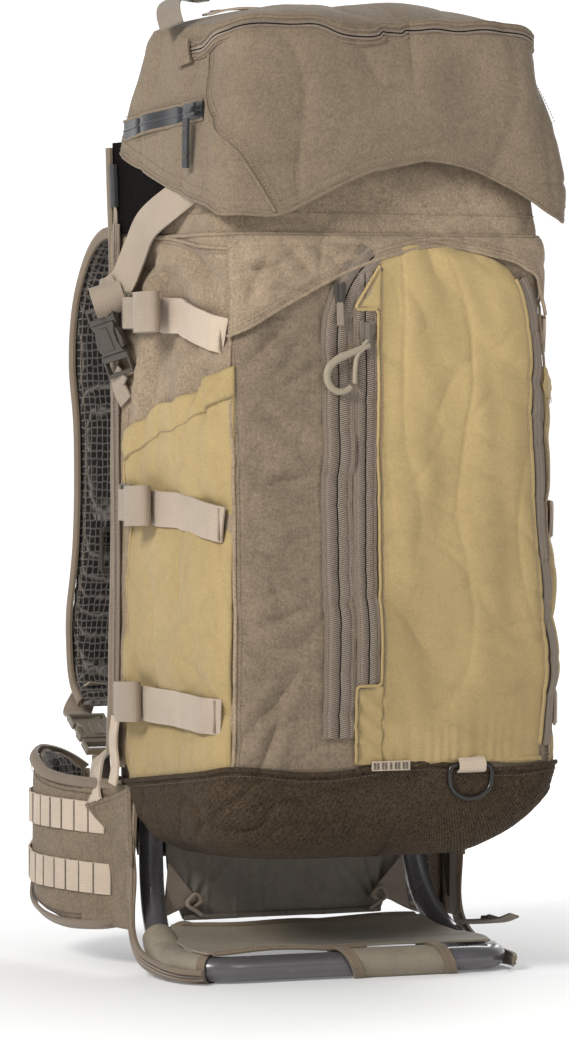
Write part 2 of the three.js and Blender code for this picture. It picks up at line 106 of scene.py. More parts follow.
def light(name, kind, energy, place, aim, size, colour=(1, 1, 1)):
    data = bpy.data.lights.new(name, kind)
    data.energy = energy
    data.color = colour
    if kind == "AREA":
        data.shape = "RECTANGLE"
        data.size, data.size_y = size
    lamp = bpy.data.objects.new(name, data)
    bpy.context.collection.objects.link(lamp)
    lamp.location = place
    lamp.rotation_euler = (Vector(aim) - Vector(place)).to_track_quat("-Z", "Y").to_euler()


def studio():
    scene = bpy.context.scene
    scene.view_settings.view_transform = "Standard"
    world = bpy.data.worlds.new("studio")
    scene.world = world
    world.use_nodes = True
    world.node_tree.nodes["Background"].inputs["Color"].default_value = (0.95, 0.97, 1.0, 1)
    # white to the camera where the floor ends, dimmer as a light
    nodes, links = world.node_tree.nodes, world.node_tree.links
    strength = nodes.new("ShaderNodeMath")
    strength.operation = "MULTIPLY_ADD"
    strength.inputs[1].default_value, strength.inputs[2].default_value = 0.75, 0.33
    links.new(nodes.new("ShaderNodeLightPath").outputs["Is Camera Ray"], strength.inputs[0])
    links.new(strength.outputs[0], nodes["Background"].inputs["Strength"])
    light("key", "AREA", 112, (-2.9, -1.7, 2.3), (0, 0, 0.5), (1.1, 1.1), (1.0, 0.985, 0.96))
    light("front", "AREA", 11, (0.6, -3.2, 1.7), (0, 0, 0.45), (1.2, 1.2))
    light("rim", "AREA", 26, (1.9, 1.6, 1.6), (0, 0, 0.5), (1.2, 1.2))
    backdrop()


def backdrop():
    """Floor that turns up into a wall behind the pack, as the main view sees it."""
    mesh = bpy.data.meshes.new("floor")
    low = cad_box[0][2] - 1.5 * MM
    profile = [(-FLOOR_REACH, low), (WALL_AT, low)]
    for i in range(1, 17):
        turn = math.pi / 2 * i / 16
        profile.append((WALL_AT + WALL_RADIUS * math.sin(turn), low + WALL_RADIUS * (1 - math.cos(turn))))
    profile.append((WALL_AT + WALL_RADIUS, low + WALL_RADIUS + WALL_HEIGHT))
    turn = Matrix.Rotation(AZIMUTH, 3, "Z")
    verts, faces = [], []
    for y, z in profile:
        verts += [turn @ Vector((-FLOOR_REACH, y, z)), turn @ Vector((FLOOR_REACH, y, z))]
    for i in range(len(profile) - 1):
        faces.append((2 * i, 2 * i + 1, 2 * i + 3, 2 * i + 2))
    mesh.from_pydata(verts, [], faces)
    mesh.shade_smooth()
    floor = bpy.data.objects.new("floor", mesh)
    bpy.context.collection.objects.link(floor)
    mesh.materials.append(backdrop_material())


def backdrop_material():
    """Pale paper with a painted glow that grows brighter away from the pack, so the floor near the pack is left
    darker, as painted shade.
    """
    m = bpy.data.materials.new("floor")
    m.use_nodes = True
    b = m.node_tree.nodes["Principled BSDF"]
    b.inputs["Base Color"].default_value = (0.82, 0.82, 0.82, 1)
    b.inputs["Roughness"].default_value = 0.8
    b.inputs["Emission Color"].default_value = (1, 1, 1, 1)
    nodes, links = m.node_tree.nodes, m.node_tree.links
    where = nodes.new("ShaderNodeNewGeometry")
    reach_node = nodes.new("ShaderNodeVectorMath")
    reach_node.operation = "LENGTH"
    links.new(where.outputs["Position"], reach_node.inputs[0])
    # painted glow: emission strength rises with distance from the pack, leaving painted shade near it
    glow = nodes.new("ShaderNodeMapRange")
    glow.inputs["From Min"].default_value = 0.15
    glow.inputs["From Max"].default_value = 1.1
    glow.inputs["To Min"].default_value = 0.12
    glow.inputs["To Max"].default_value = 0.50
    links.new(reach_node.outputs["Value"], glow.inputs["Value"])
    links.new(glow.outputs["Result"], b.inputs["Emission Strength"])
    # seen from outside, the floor and its wall let the view through
    through = nodes.new("ShaderNodeMixShader")
    links.new(where.outputs["Backfacing"], through.inputs[0])
    links.new(b.outputs[0], through.inputs[1])
    links.new(nodes.new("ShaderNodeBsdfTransparent").outputs[0], through.inputs[2])
    links.new(through.outputs[0], nodes["Material Output"].inputs["Surface"])
    return m


camera()
studio()


# ---------- materials ----------
class Nodes:
    """Short way to write a node tree."""

    def __init__(self, name):
        self.m = bpy.data.materials.new(name)
        self.m.use_nodes = True
        self.t = self.m.node_tree
        self.b = self.t.nodes["Principled BSDF"]

    def add(self, kind, **props):
        node = self.t.nodes.new(kind)
        for key, value in props.items():
            setattr(node, key, value)
        return node

    def link(self, a, b):
        self.t.links.new(a, b)

    def math(self, op, a, b=None, c=None, clamp=False):
        node = self.add("ShaderNodeMath", operation=op, use_clamp=clamp)
        for i, v in enumerate((a, b, c)):
            if v is None:
                continue
            if isinstance(v, (int, float)):
                node.inputs[i].default_value = v
            else:
                self.link(v, node.inputs[i])
        return node.outputs[0]

    def noise(self, vector, scale, detail=3, rough=0.5):
        node = self.add("ShaderNodeTexNoise")
        node.inputs["Scale"].default_value = scale
        node.inputs["Detail"].default_value = detail
        node.inputs["Roughness"].default_value = rough
        self.link(vector, node.inputs["Vector"])
        return node.outputs["Fac"]

    def ramp(self, fac, stops):
        node = self.add("ShaderNodeValToRGB")
        ramp = node.color_ramp
        while len(ramp.elements) < len(stops):
            ramp.elements.new(0.5)
        for element, (at, colour) in zip(ramp.elements, stops):
            element.position = at
            element.color = (*colour, 1)
        self.link(fac, node.inputs["Fac"])
        return node.outputs["Color"]

    def mix(self, fac, a, b, blend="MIX"):
        node = self.add("ShaderNodeMix", data_type="RGBA", blend_type=blend)
        for socket, v in ((node.inputs[0], fac), (node.inputs[6], a), (node.inputs[7], b)):
            if isinstance(v, (int, float)):
                socket.default_value = v
            elif isinstance(v, tuple):
                socket.default_value = (*v, 1)
            else:
                self.link(v, socket)
        return node.outputs[2]

    def bump(self, height, strength, distance, normal=None):
        node = self.add("ShaderNodeBump")
        node.inputs["Strength"].default_value = strength
        node.inputs["Distance"].default_value = distance
        self.link(height, node.inputs["Height"])
        if normal is not None:
            self.link(normal, node.inputs["Normal"])
        return node.outputs["Normal"]

    def uv(self):
        node = self.add("ShaderNodeUVMap", uv_map="metres")
        split = self.add("ShaderNodeSeparateXYZ")
        self.link(node.outputs["UV"], split.inputs[0])
        return split.outputs[0], split.outputs[1], node.outputs["UV"]

    def object(self):
        return self.add("ShaderNodeTexCoord").outputs["Object"]


def shade(colour, k):
    return tuple(min(1.0, c * k) for c in colour)


def wave(n, coordinate, pitch, shift=0.0):
    """0..1 ripple along a coordinate in metres."""
    s = n.math("SINE", n.math("MULTIPLY_ADD", coordinate, 2 * math.pi / pitch, shift))
    return n.math("MULTIPLY_ADD", s, 0.5, 0.5)


def lines(n, coordinate, pitch, width):
    """1 on thin lines a pitch apart, 0 between them, with soft edges."""
    saw = n.math("FRACT", n.math("DIVIDE", coordinate, pitch))
    near = n.math("ABSOLUTE", n.math("SUBTRACT", saw, 0.5))
    return n.math("SUBTRACT", 1.0, n.math("DIVIDE", near, width / pitch, clamp=True))


def cloth(name, colour, weave="plain", rough=0.86, sheen=0.10, thread=0.9 * MM, grid=5.2 * MM,
          contrast=0.10, bump=0.35, blotch=0.10, space="uv", wrinkle=(13, 0.22), speck=0.95, shadow=0.16,
          gloss=0.3, darken_low=0.0):
    n = Nodes(name)
    place = n.object()
    if space == "uv":
        u, v, _ = n.uv()
    else:
        split = n.add("ShaderNodeSeparateXYZ")
        n.link(place, split.inputs[0])
        u, v = n.math("ADD", split.outputs[0], split.outputs[1]), split.outputs[2]
    if weave == "twill":
        both = n.math("ADD", u, v)
        height = wave(n, both, 1.6 * thread)
        height = n.math("MULTIPLY_ADD", wave(n, n.math("SUBTRACT", u, v), 3.1 * thread), 0.35, height)
    else:
        height = n.math("MULTIPLY", wave(n, u, thread), wave(n, v, thread))
    if weave == "ripstop":
        rib = n.math("MAXIMUM", lines(n, u, grid, 0.55 * MM), lines(n, v, grid, 0.55 * MM))
        height = n.math("ADD", height, n.math("MULTIPLY", rib, 1.6))
    else:
        rib = None
    cloud = n.noise(place, 9, 4, 0.6)
    grain = n.noise(place, 900, 2, 0.7)
    slub = n.noise(place, 420, 3, 0.75)
    base = n.ramp(cloud, [(0.25, shade(colour, 1 - blotch)), (0.75, shade(colour, 1 + blotch))])
    weave_sum = n.math("MULTIPLY_ADD", slub, 2.2, n.math("ADD", grain, height))
    fine = n.math("MULTIPLY_ADD", weave_sum, contrast, 1 - 2.0 * contrast)
    slub_cross = n.noise(place, 800, 2, 0.8)
    fine = n.math("MULTIPLY_ADD", n.math("SUBTRACT", n.math("ADD", slub, slub_cross), 1.0), speck, fine)
    crumple = n.math("ABSOLUTE", n.math("MULTIPLY_ADD", n.noise(place, 2.6 * wrinkle[0], 5, 0.62), 2.0, -1.0))
    # painted shade: the colour is darkened in the creases of the crumple bump, as deep as the shadow argument says
    fold_shade = n.math("POWER", n.math("SUBTRACT", 1.0, crumple, clamp=True), 14.0)
    fine = n.math("MULTIPLY", fine, n.math("MULTIPLY_ADD", fold_shade, -shadow, 1.0))
    # colour darker towards the bottom and lighter towards the top, by height
    if darken_low:
        high = n.add("ShaderNodeSeparateXYZ")
        n.link(place, high.inputs[0])
        rise = n.math("MULTIPLY_ADD", high.outputs[2], 2.8, -0.35, clamp=True)
        fine = n.math("MULTIPLY", fine, n.math("MULTIPLY_ADD", rise, darken_low, 1.0 - 0.6 * darken_low))
    grey = n.add("ShaderNodeCombineXYZ")
    for i in range(3):
        n.link(fine, grey.inputs[i])
    base = n.mix(1.0, base, grey.outputs[0], "MULTIPLY")
    if rib is not None:
        base = n.mix(n.math("MULTIPLY", rib, 0.16), base, shade(colour, 0.45))
    n.link(base, n.b.inputs["Base Color"])
    n.link(n.math("MULTIPLY_ADD", grain, 0.12, rough - 0.06), n.b.inputs["Roughness"])
    fold = n.math("ABSOLUTE", n.math("MULTIPLY_ADD", n.noise(place, wrinkle[0], 4, 0.55), 2.0, -1.0))
    soft = n.bump(n.math("SMOOTH_MIN", fold, 0.35), wrinkle[1], 5.0 * MM)
    soft = n.bump(crumple, wrinkle[1] * 1.4, 1.6 * MM, soft)
    soft = n.bump(n.math("ADD", slub, n.noise(place, 70, 3, 0.6)), 0.30, 0.9 * MM, soft)
    n.link(n.bump(height, bump, 0.25 * MM, soft), n.b.inputs["Normal"])
    n.b.inputs["Sheen Weight"].default_value = sheen
    n.b.inputs["Sheen Roughness"].default_value = 0.45
    n.b.inputs["Specular IOR Level"].default_value = gloss
    return n.m


def web(name, colour, rough=0.72):
    """Ribbed webbing: u runs across the strap from one edge to the other, v along it."""
    n = Nodes(name)
    u, v, _ = n.uv()
    place = n.object()
    ribs = wave(n, v, 1.25 * MM)
    cords = wave(n, u, 2.5 * MM)
    height = n.math("MULTIPLY_ADD", cords, 0.6, n.math("MULTIPLY", ribs, 0.8))
    cloud = n.noise(place, 22, 3, 0.6)
    base = n.ramp(cloud, [(0.3, shade(colour, 0.88)), (0.7, shade(colour, 1.08))])
    base = n.mix(n.math("MULTIPLY", ribs, 0.25), base, shade(colour, 0.55))
    grain = n.noise(place, 700, 2, 0.7)
    base = n.mix(n.math("MULTIPLY", grain, 0.25), base, shade(colour, 1.25))
    n.link(base, n.b.inputs["Base Color"])
    n.link(n.math("MULTIPLY_ADD", grain, 0.15, rough - 0.07), n.b.inputs["Roughness"])
    n.link(n.bump(height, 0.55, 0.35 * MM), n.b.inputs["Normal"])
    n.b.inputs["Sheen Weight"].default_value = 0.2
    n.b.inputs["Specular IOR Level"].default_value = 0.35
    return n.m


def hard(name, colour, rough=0.4, metal=0.0, grain=0.03, coat=0.0, fleck=0.06):
    """Moulded plastic, painted tube or dark metal, with a fine texture and slight wear."""
    n = Nodes(name)
    place = n.object()
    cloud = n.noise(place, 30, 4, 0.6)
    fine = n.noise(place, 1400, 2, 0.6)
    base = n.ramp(cloud, [(0.3, shade(colour, 1 - fleck)), (0.7, shade(colour, 1 + fleck))])
    base = n.mix(n.math("MULTIPLY", fine, 0.18), base, shade(colour, 1.5))
    n.link(base, n.b.inputs["Base Color"])
    n.link(n.math("MULTIPLY_ADD", cloud, 0.16, rough - 0.08), n.b.inputs["Roughness"])
    n.link(n.bump(fine, 0.25, grain * MM), n.b.inputs["Normal"])
    n.b.inputs["Metallic"].default_value = metal
    n.b.inputs["Coat Weight"].default_value = coat
    n.b.inputs["Coat Roughness"].default_value = 0.3
    return n.m


def spacer(name, ground, strand):
    """Spacer mesh: a pale honeycomb of strands over dark foam."""
    n = Nodes(name)
    place = n.object()
    cell = n.add("ShaderNodeTexVoronoi", feature="DISTANCE_TO_EDGE")
    cell.inputs["Scale"].default_value = 250
    cell.inputs["Randomness"].default_value = 0.22
    squeeze = n.add("ShaderNodeMapping")
    squeeze.inputs["Scale"].default_value = (0.85, 0.85, 0.62)
    n.link(place, squeeze.inputs["Vector"])
    n.link(squeeze.outputs["Vector"], cell.inputs["Vector"])
    wire = n.math("SUBTRACT", 1.0, n.math("MULTIPLY", cell.outputs["Distance"], 5.0, clamp=True))
    wire = n.math("POWER", wire, 1.5)
    grain = n.noise(place, 700, 2)
    base = n.mix(wire, ground, strand)
    base = n.mix(n.math("MULTIPLY", grain, 0.4), base, shade(ground, 0.5))
    n.link(base, n.b.inputs["Base Color"])
    n.b.inputs["Roughness"].default_value = 0.8
    n.link(n.bump(wire, 0.9, 1.2 * MM), n.b.inputs["Normal"])
    return n.m


RIPSTOP = (0.225, 0.170, 0.117)
TAUPE = (0.312, 0.236, 0.160)
KHAKI = (0.420, 0.308, 0.140)
BOOT = (0.052, 0.036, 0.022)
WEB = (0.53, 0.425, 0.325)
M = {
    "ripstop": cloth("ripstop", RIPSTOP, "ripstop"),
    "side": cloth("side cloth", TAUPE, "plain", thread=1.3 * MM, contrast=0.14),
    "lid": cloth("lid cloth", shade(TAUPE, 0.69), "ripstop", grid=4.6 * MM, sheen=0.12, speck=0.8, shadow=0.10),
    "yoke": cloth("yoke cloth", shade(TAUPE, 1.04), "ripstop"),
    # near-black painted shade, for the shadowed gap at the bag's mouth and the gap between a zip's rows of teeth
    "dark": cloth("painted shade cloth", (0.007, 0.0055, 0.005), "plain", sheen=0.0, gloss=0.05),
    "khaki": cloth("stretch cloth", KHAKI, "plain", rough=0.78, thread=0.6 * MM, contrast=0.05, bump=0.2,
                   wrinkle=(7, 0.10), speck=0.28, shadow=0.06, darken_low=0.20),
    "pocket": cloth("pocket cloth", shade(KHAKI, 0.92), "plain", rough=0.7, thread=0.6 * MM,
                    contrast=0.05, bump=0.2, wrinkle=(9, 0.14), speck=0.3, shadow=0.08, darken_low=0.12),
    "boot": cloth("boot twill", BOOT, "twill", thread=1.5 * MM, contrast=0.62, bump=0.9, speck=1.8,
                  gloss=0.12, sheen=0.02, darken_low=0.15),
    "belt": cloth("belt cloth", shade(TAUPE, 0.62), "twill", thread=1.0 * MM, contrast=0.2, bump=0.6),
    "panel": cloth("panel cloth", (0.185, 0.160, 0.128), "plain", rough=0.5, contrast=0.04, bump=0.1,
                   wrinkle=(12, 0.3), speck=0.3),
    "sling": cloth("sling cloth", (0.280, 0.238, 0.175), "plain", rough=0.6, contrast=0.03, bump=0.08,
                   wrinkle=(10, 0.12), speck=0.25, shadow=0.1),
    "web": web("webbing", WEB),
    "web_mid": web("side webbing", shade(WEB, 0.82)),
    "strap_tan": web("lid strap webbing", shade(WEB, 0.72)),
    "web_dark": web("dark webbing", shade(WEB, 0.55)),
    "black_web": web("black webbing", (0.03, 0.03, 0.032)),
    "binding": web("binding tape", (0.200, 0.150, 0.102)),
    "tape": web("zip tape", (0.205, 0.160, 0.120)),
    "coil": hard("zip coil", (0.300, 0.240, 0.190), 0.5),
    "black_zip": hard("coated zip", (0.02, 0.021, 0.024), 0.35, coat=0.3),
    "thread": hard("thread", (0.290, 0.226, 0.158), 0.7),
    "thread_dark": hard("dark thread", (0.10, 0.08, 0.06), 0.7),
    "plastic": hard("buckle plastic", (0.16, 0.135, 0.10), 0.42),
    "plastic_dark": hard("dark plastic", (0.055, 0.046, 0.036), 0.45),
    "pull": hard("rubber pull", (0.30, 0.25, 0.18), 0.55),
    "tube": hard("tube finish", (0.125, 0.118, 0.124), 0.26, metal=0.35, coat=0.35, grain=0.015),
    "steel": hard("ring steel", (0.05, 0.048, 0.046), 0.3, metal=0.8),
    "sheet": hard("sheet plastic", (0.02, 0.02, 0.02), 0.5),
    "mesh": spacer("spacer mesh", (0.010, 0.008, 0.007), (0.29, 0.255, 0.225)),
    "foam": cloth("pad cloth", (0.016, 0.0135, 0.012), "plain", contrast=0.15, sheen=0.02, gloss=0.1),
}


# ---------- mesh helpers ----------
def curve_interp(x, rows, column):
    """Smooth value of a column of a table whose first column rises, at every x."""
    xs = np.array([r[0] for r in rows], float)
    ys = np.array([r[column] for r in rows], float)
    slope = np.gradient(ys, xs)
    x = np.clip(np.asarray(x, float), xs[0], xs[-1])
    i = np.clip(np.searchsorted(xs, x, side="right") - 1, 0, len(xs) - 2)
    h = xs[i + 1] - xs[i]
    t = (x - xs[i]) / h
    a, b = 2 * t**3 - 3 * t**2 + 1, t**3 - 2 * t**2 + t
    c, d = -2 * t**3 + 3 * t**2, t**3 - t**2
    return a * ys[i] + b * h * slope[i] + c * ys[i + 1] + d * h * slope[i + 1]


def field(p, wavelength, seed, terms=14, stretch=(1, 1, 1)):
    """Smooth random field of about unit strength over points, from seeded waves."""
    rng = np.random.default_rng(SEED * 1000 + seed)
    k = rng.normal(size=(terms, 3))
    k /= np.linalg.norm(k, axis=1, keepdims=True)
    k *= 2 * math.pi / wavelength * rng.uniform(0.7, 1.4, (terms, 1)) * np.array(stretch)
    phase = rng.uniform(0, 2 * math.pi, terms)
    total = np.zeros(p.shape[:-1])
    for wave_k, shift in zip(k, phase):
        total += np.sin(p @ wave_k + shift)
    return total / math.sqrt(terms / 2)


def crease(p, wavelength, seed, stretch=(1, 1, 1)):
    """Ridged field from 0 to 1 with thin crests, for folds in cloth."""
    return np.exp(-3.2 * np.abs(field(p, wavelength, seed, 10, stretch)))


def step(x, a, b):
    t = np.clip((x - a) / (b - a), 0, 1)
    return t * t * (3 - 2 * t)


def hill(x, centre, width):
    return np.exp(-(((x - centre) / width) ** 2))


def place(name, mesh, material, body, slot, smooth=True):
    mesh.materials.append(material)
    if smooth:
        mesh.shade_smooth()
    else:
        mesh.shade_flat()
    obj = bpy.data.objects.new(name, mesh)
    bpy.context.collection.objects.link(obj)
    if body:
        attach(obj, body)
    return obj


def sheet_mesh(name, grid, material, body="pack", slot="ripstop", closed=False, thick=0.0, smooth=True,
               flip=False):
    """Quad mesh over a grid of points, with a UV map in metres; thick gives it a closed back."""
    rows, cols = grid.shape[:2]
    along = np.linalg.norm(np.diff(grid, axis=0), axis=2)
    v = np.vstack([np.zeros((1, cols)), np.cumsum(along, axis=0)])
    v = np.repeat(v.mean(axis=1, keepdims=True), cols, axis=1)
    loop = np.concatenate([grid, grid[:, :1]], axis=1) if closed else grid
    across = np.linalg.norm(np.diff(loop, axis=1), axis=2)
    u = np.hstack([np.zeros((rows, 1)), np.cumsum(across, axis=1)])
    widest = u[np.argmax(u[:, -1])]
    u = np.repeat(widest[None, :], rows, axis=0)
    faces, uvs = [], []
    last = cols if closed else cols - 1
    if closed:
        v = np.hstack([v, v[:, :1]])
    for r in range(rows - 1):
        for c in range(last):
            d = (c + 1) % cols
            quad = [(r, c, c), (r, d, c + 1), (r + 1, d, c + 1), (r + 1, c, c)]
            if flip:
                quad.reverse()
            faces.append([a * cols + b for a, b, _ in quad])
            uvs += [(u[a, k], v[a, k]) for a, _, k in quad]
    mesh = bpy.data.meshes.new(name)
    mesh.from_pydata(grid.reshape(-1, 3).tolist(), [], faces)
    layer = mesh.uv_layers.new(name="metres")
    layer.data.foreach_set("uv", np.array(uvs, np.float32).ravel())
    obj = place(name, mesh, material, body, slot, smooth)
    if thick:
        mod = obj.modifiers.new("thickness", "SOLIDIFY")
        mod.thickness = thick
        mod.offset = -1
    return obj


def solid_mesh(name, verts, faces, material, body="pack", slot="plastic", smooth=False, bevel=0.0, segments=2):
    mesh = bpy.data.meshes.new(name)
    mesh.from_pydata([tuple(v) for v in verts], [], faces)
    obj = place(name, mesh, material, body, slot, smooth)
    if bevel:
        mod = obj.modifiers.new("edges", "BEVEL")
        mod.width = bevel
        mod.segments = segments
        mod.limit_method = "ANGLE"
        mesh.shade_smooth()
        weighted = obj.modifiers.new("shading", "WEIGHTED_NORMAL")
        weighted.keep_sharp = False
    return obj


def unit(vectors):
    """The same directions, one a row, at a length of one."""
    return vectors / np.maximum(np.linalg.norm(vectors, axis=-1, keepdims=True), 1e-12)


def run_length(path):
    """Distance along a path at each of its points."""
    return np.concatenate([[0], np.cumsum(np.linalg.norm(np.diff(path, axis=0), axis=1))])


def resample(at, run, rows):
    """Rows of three numbers, known at the distances in run, read at other distances."""
    return np.stack([np.interp(at, run, rows[:, k]) for k in range(3)], axis=1)


def close_ring(ring):
    """A ring of points with its first one repeated at the end."""
    return np.vstack([ring, ring[:1]])


BRICK = [(0, 3, 2, 1), (4, 5, 6, 7), (0, 1, 5, 4), (1, 2, 6, 5), (2, 3, 7, 6), (3, 0, 4, 7)]


def bricks(count, first=0):
    """Faces of six-sided blocks whose eight corners follow each other."""
    return [tuple(first + 8 * i + corner for corner in face) for i in range(count) for face in BRICK]


def smooth_path(points, count):
    """Evenly spaced points on a Catmull-Rom curve through the given ones."""
    p = np.array(points, float)
    ends = np.vstack([2 * p[0] - p[1], p, 2 * p[-1] - p[-2]])
    fine = []
    per = 24
    for i in range(len(p) - 1):
        a, b, c, d = ends[i:i + 4]
        for t in np.linspace(0, 1, per, endpoint=False):
            fine.append(0.5 * (2 * b + (c - a) * t + (2 * a - 5 * b + 4 * c - d) * t**2
                               + (3 * b - a - 3 * c + d) * t**3))
    fine.append(p[-1])
    fine = np.array(fine)
    run = run_length(fine)
    return resample(np.linspace(0, run[-1], count), run, fine)


def tangents(path):
    return unit(np.gradient(path, axis=0))


def strap(name, path, out, width, thick=1.8 * MM, material=None, body="pack", slot="webbing", crown=0.0):
    """Flat strip along a path; out is the direction that it faces, one for all points or one each."""
    path = np.array(path)
    t = tangents(path)
    out = np.broadcast_to(np.array(out, float), path.shape)
    across = unit(np.cross(t, out))
    face = np.cross(across, t)
    profile = []
    cols = 7
    for i in range(cols):
        s = 2 * i / (cols - 1) - 1
        profile.append((s, crown * (1 - s * s)))
    grid = np.stack([path + across * (s * width / 2) + face * h for s, h in profile], axis=1)
    # the strip is closed by hand, so that u crosses it from edge to edge
    top = grid + (face * thick / 2)[:, None, :]
    low = grid - (face * thick / 2)[:, None, :]
    ring = np.concatenate([top, low[:, ::-1]], axis=1)
    return closed_strip(name, ring, material or M["web"], body, slot)


def closed_strip(name, ring, material, body, slot, smooth=False):
    """Closed skin over rings of points, capped at both ends, with UVs in metres."""
    rows, cols = ring.shape[:2]
    v = run_length(ring.mean(axis=1))
    edge = np.linalg.norm(np.diff(np.concatenate([ring, ring[:, :1]], axis=1), axis=1), axis=2).mean(axis=0)
    u = np.concatenate([[0], np.cumsum(edge)])
    faces, uvs = [], []
    for r in range(rows - 1):
        for c in range(cols):
            d = (c + 1) % cols
            faces.append([r * cols + c, (r + 1) * cols + c, (r + 1) * cols + d, r * cols + d])
            uvs += [(u[c], v[r]), (u[c], v[r + 1]), (u[c + 1], v[r + 1]), (u[c + 1], v[r])]
    faces.append(list(range(cols)))
    uvs += [(u[c], v[0]) for c in range(cols)]
    faces.append([(rows - 1) * cols + c for c in reversed(range(cols))])
    uvs += [(u[c], v[-1]) for c in reversed(range(cols))]
    mesh = bpy.data.meshes.new(name)
    mesh.from_pydata(ring.reshape(-1, 3).tolist(), [], faces)
    layer = mesh.uv_layers.new(name="metres")
    layer.data.foreach_set("uv", np.array(uvs, np.float32).ravel())
    obj = place(name, mesh, material, body, slot, smooth)
    if not smooth:
        mesh.shade_smooth()
        mesh.set_sharp_from_angle(angle=math.radians(45))
    return obj


def cord_mesh(name, path, radius, material, body="pack", slot="webbing", sides=10, squash=1.0, out=None):
    """Round or flattened tube along a path."""
    path = np.array(path)
    t = tangents(path)
    # without a direction to face, one that no path here follows
    facing = np.array((0.31, 0.17, 0.93) if out is None else out, float)
    side = unit(np.cross(t, np.broadcast_to(facing, path.shape)))
    up = np.cross(side, t)
    turn = np.linspace(0, 2 * math.pi, sides, endpoint=False)
    ring = (path[:, None, :] + side[:, None, :] * (np.cos(turn) * radius)[None, :, None]
            + up[:, None, :] * (np.sin(turn) * radius * squash)[None, :, None])
    return closed_strip(name, ring, material, body, slot, smooth=True)


def dashes(name, path, out, material=None, body="pack", slot="webbing", pitch=3.0 * MM, length=2.1 * MM,
           width=0.55 * MM, lift=0.15 * MM, height=0.5 * MM):
    """Row of stitches along a path that lies on a surface."""
    path = np.array(path)
    out = np.broadcast_to(np.array(out, float), path.shape)
    run = run_length(path)
    starts = np.arange(pitch * 0.3, run[-1] - length, pitch)
    a, b = resample(starts, run, path), resample(starts + length, run, path)
    n = unit(resample(starts + length / 2, run, out))
    t = unit(b - a)
    s = np.cross(t, n) * width / 2
    low, high = n * (lift - height / 2), n * (lift + height / 2)
    mid_a, mid_b = a + (b - a) * 0.2, b - (b - a) * 0.2
    corners = [a + s + low, a - s + low, b - s + low, b + s + low,
               mid_a + s * 0.7 + high, mid_a - s * 0.7 + high, mid_b - s * 0.7 + high, mid_b + s * 0.7 + high]
    verts = np.stack(corners, axis=1).reshape(-1, 3)
    return solid_mesh(name, verts, bricks(len(starts)), material or M["thread"], body, slot, smooth=True)


# ---------- stuffed forms ----------
def share_at(form, x, y, z):
    """Share of the way round a form that lies nearest to a point."""
    f = np.linspace(0, 1, 2001)
    p, _ = form.around(f, np.full(2001, z))
    return f[np.argmin(np.hypot(p[:, 0] - x, p[:, 1] - y))]


class Form:
    """Upright stuffed form with a superelliptic plan: half width, front, back and squareness by height."""

    def __init__(self, rows, puff):
        self.rows = rows
        self.puff = puff
        w, f, b, n = (np.array([r[k] for r in rows]).mean() for k in range(1, 5))
        turn = np.linspace(0, 2 * math.pi, 8001)
        x = np.sign(np.cos(turn)) * np.abs(np.cos(turn)) ** (2 / n)
        y = np.sign(np.sin(turn)) * np.abs(np.sin(turn)) ** (2 / n) * (b - f) / 2 / w
        run = np.concatenate([[0], np.cumsum(np.hypot(np.diff(x), np.diff(y)))])
        self.turn, self.run = turn, run / run[-1]

    def at(self, z):
        return [curve_interp(z, self.rows, k) for k in range(1, 5)]

    def _finish(self, x, y, z, offset):
        w, f, b, n = self.at(z)
        c, d = (f + b) / 2, (b - f) / 2
        gx = np.sign(x) * np.abs(x / w) ** (n - 1) / w
        gy = np.sign(y - c) * np.abs((y - c) / d) ** (n - 1) / d
        g = np.stack([gx, gy, np.zeros_like(gx)], axis=-1)
        g /= np.maximum(np.linalg.norm(g, axis=-1, keepdims=True), 1e-12)
        p = np.stack([x, y, z], axis=-1)
        push = self.puff(p, g) + offset
        return p + g * push[..., None], g

    def front(self, x, z, offset=0.0):
        x, z = np.broadcast_arrays(np.asarray(x, float), np.asarray(z, float))
        w, f, b, n = self.at(z)
        c, d = (f + b) / 2, (b - f) / 2
        s = np.clip(np.abs(x / w), 0, 0.9995)
        return self._finish(x, c - d * (1 - s**n) ** (1 / n), z, offset)

    def side(self, s, y, z, offset=0.0):
        y, z = np.broadcast_arrays(np.asarray(y, float), np.asarray(z, float))
        w, f, b, n = self.at(z)
        c, d = (f + b) / 2, (b - f) / 2
        q = np.clip(np.abs((y - c) / d), 0, 0.9995)
        return self._finish(s * w * (1 - q**n) ** (1 / n), y, z, offset)

    def around(self, fractions, z, offset=0.0):
        """Points at shares of the way round, from the middle of the right side, counter-clockwise."""
        fractions, z = np.broadcast_arrays(np.asarray(fractions, float), np.asarray(z, float))
        w, f, b, n = self.at(z)
        c, d = (f + b) / 2, (b - f) / 2
        turn = np.interp(fractions % 1.0, self.run, self.turn)
        x = np.sign(np.cos(turn)) * np.abs(np.cos(turn)) ** (2 / n)
        y = np.sign(np.sin(turn)) * np.abs(np.sin(turn)) ** (2 / n)
        return self._finish(x * w, c + y * d, z, offset)


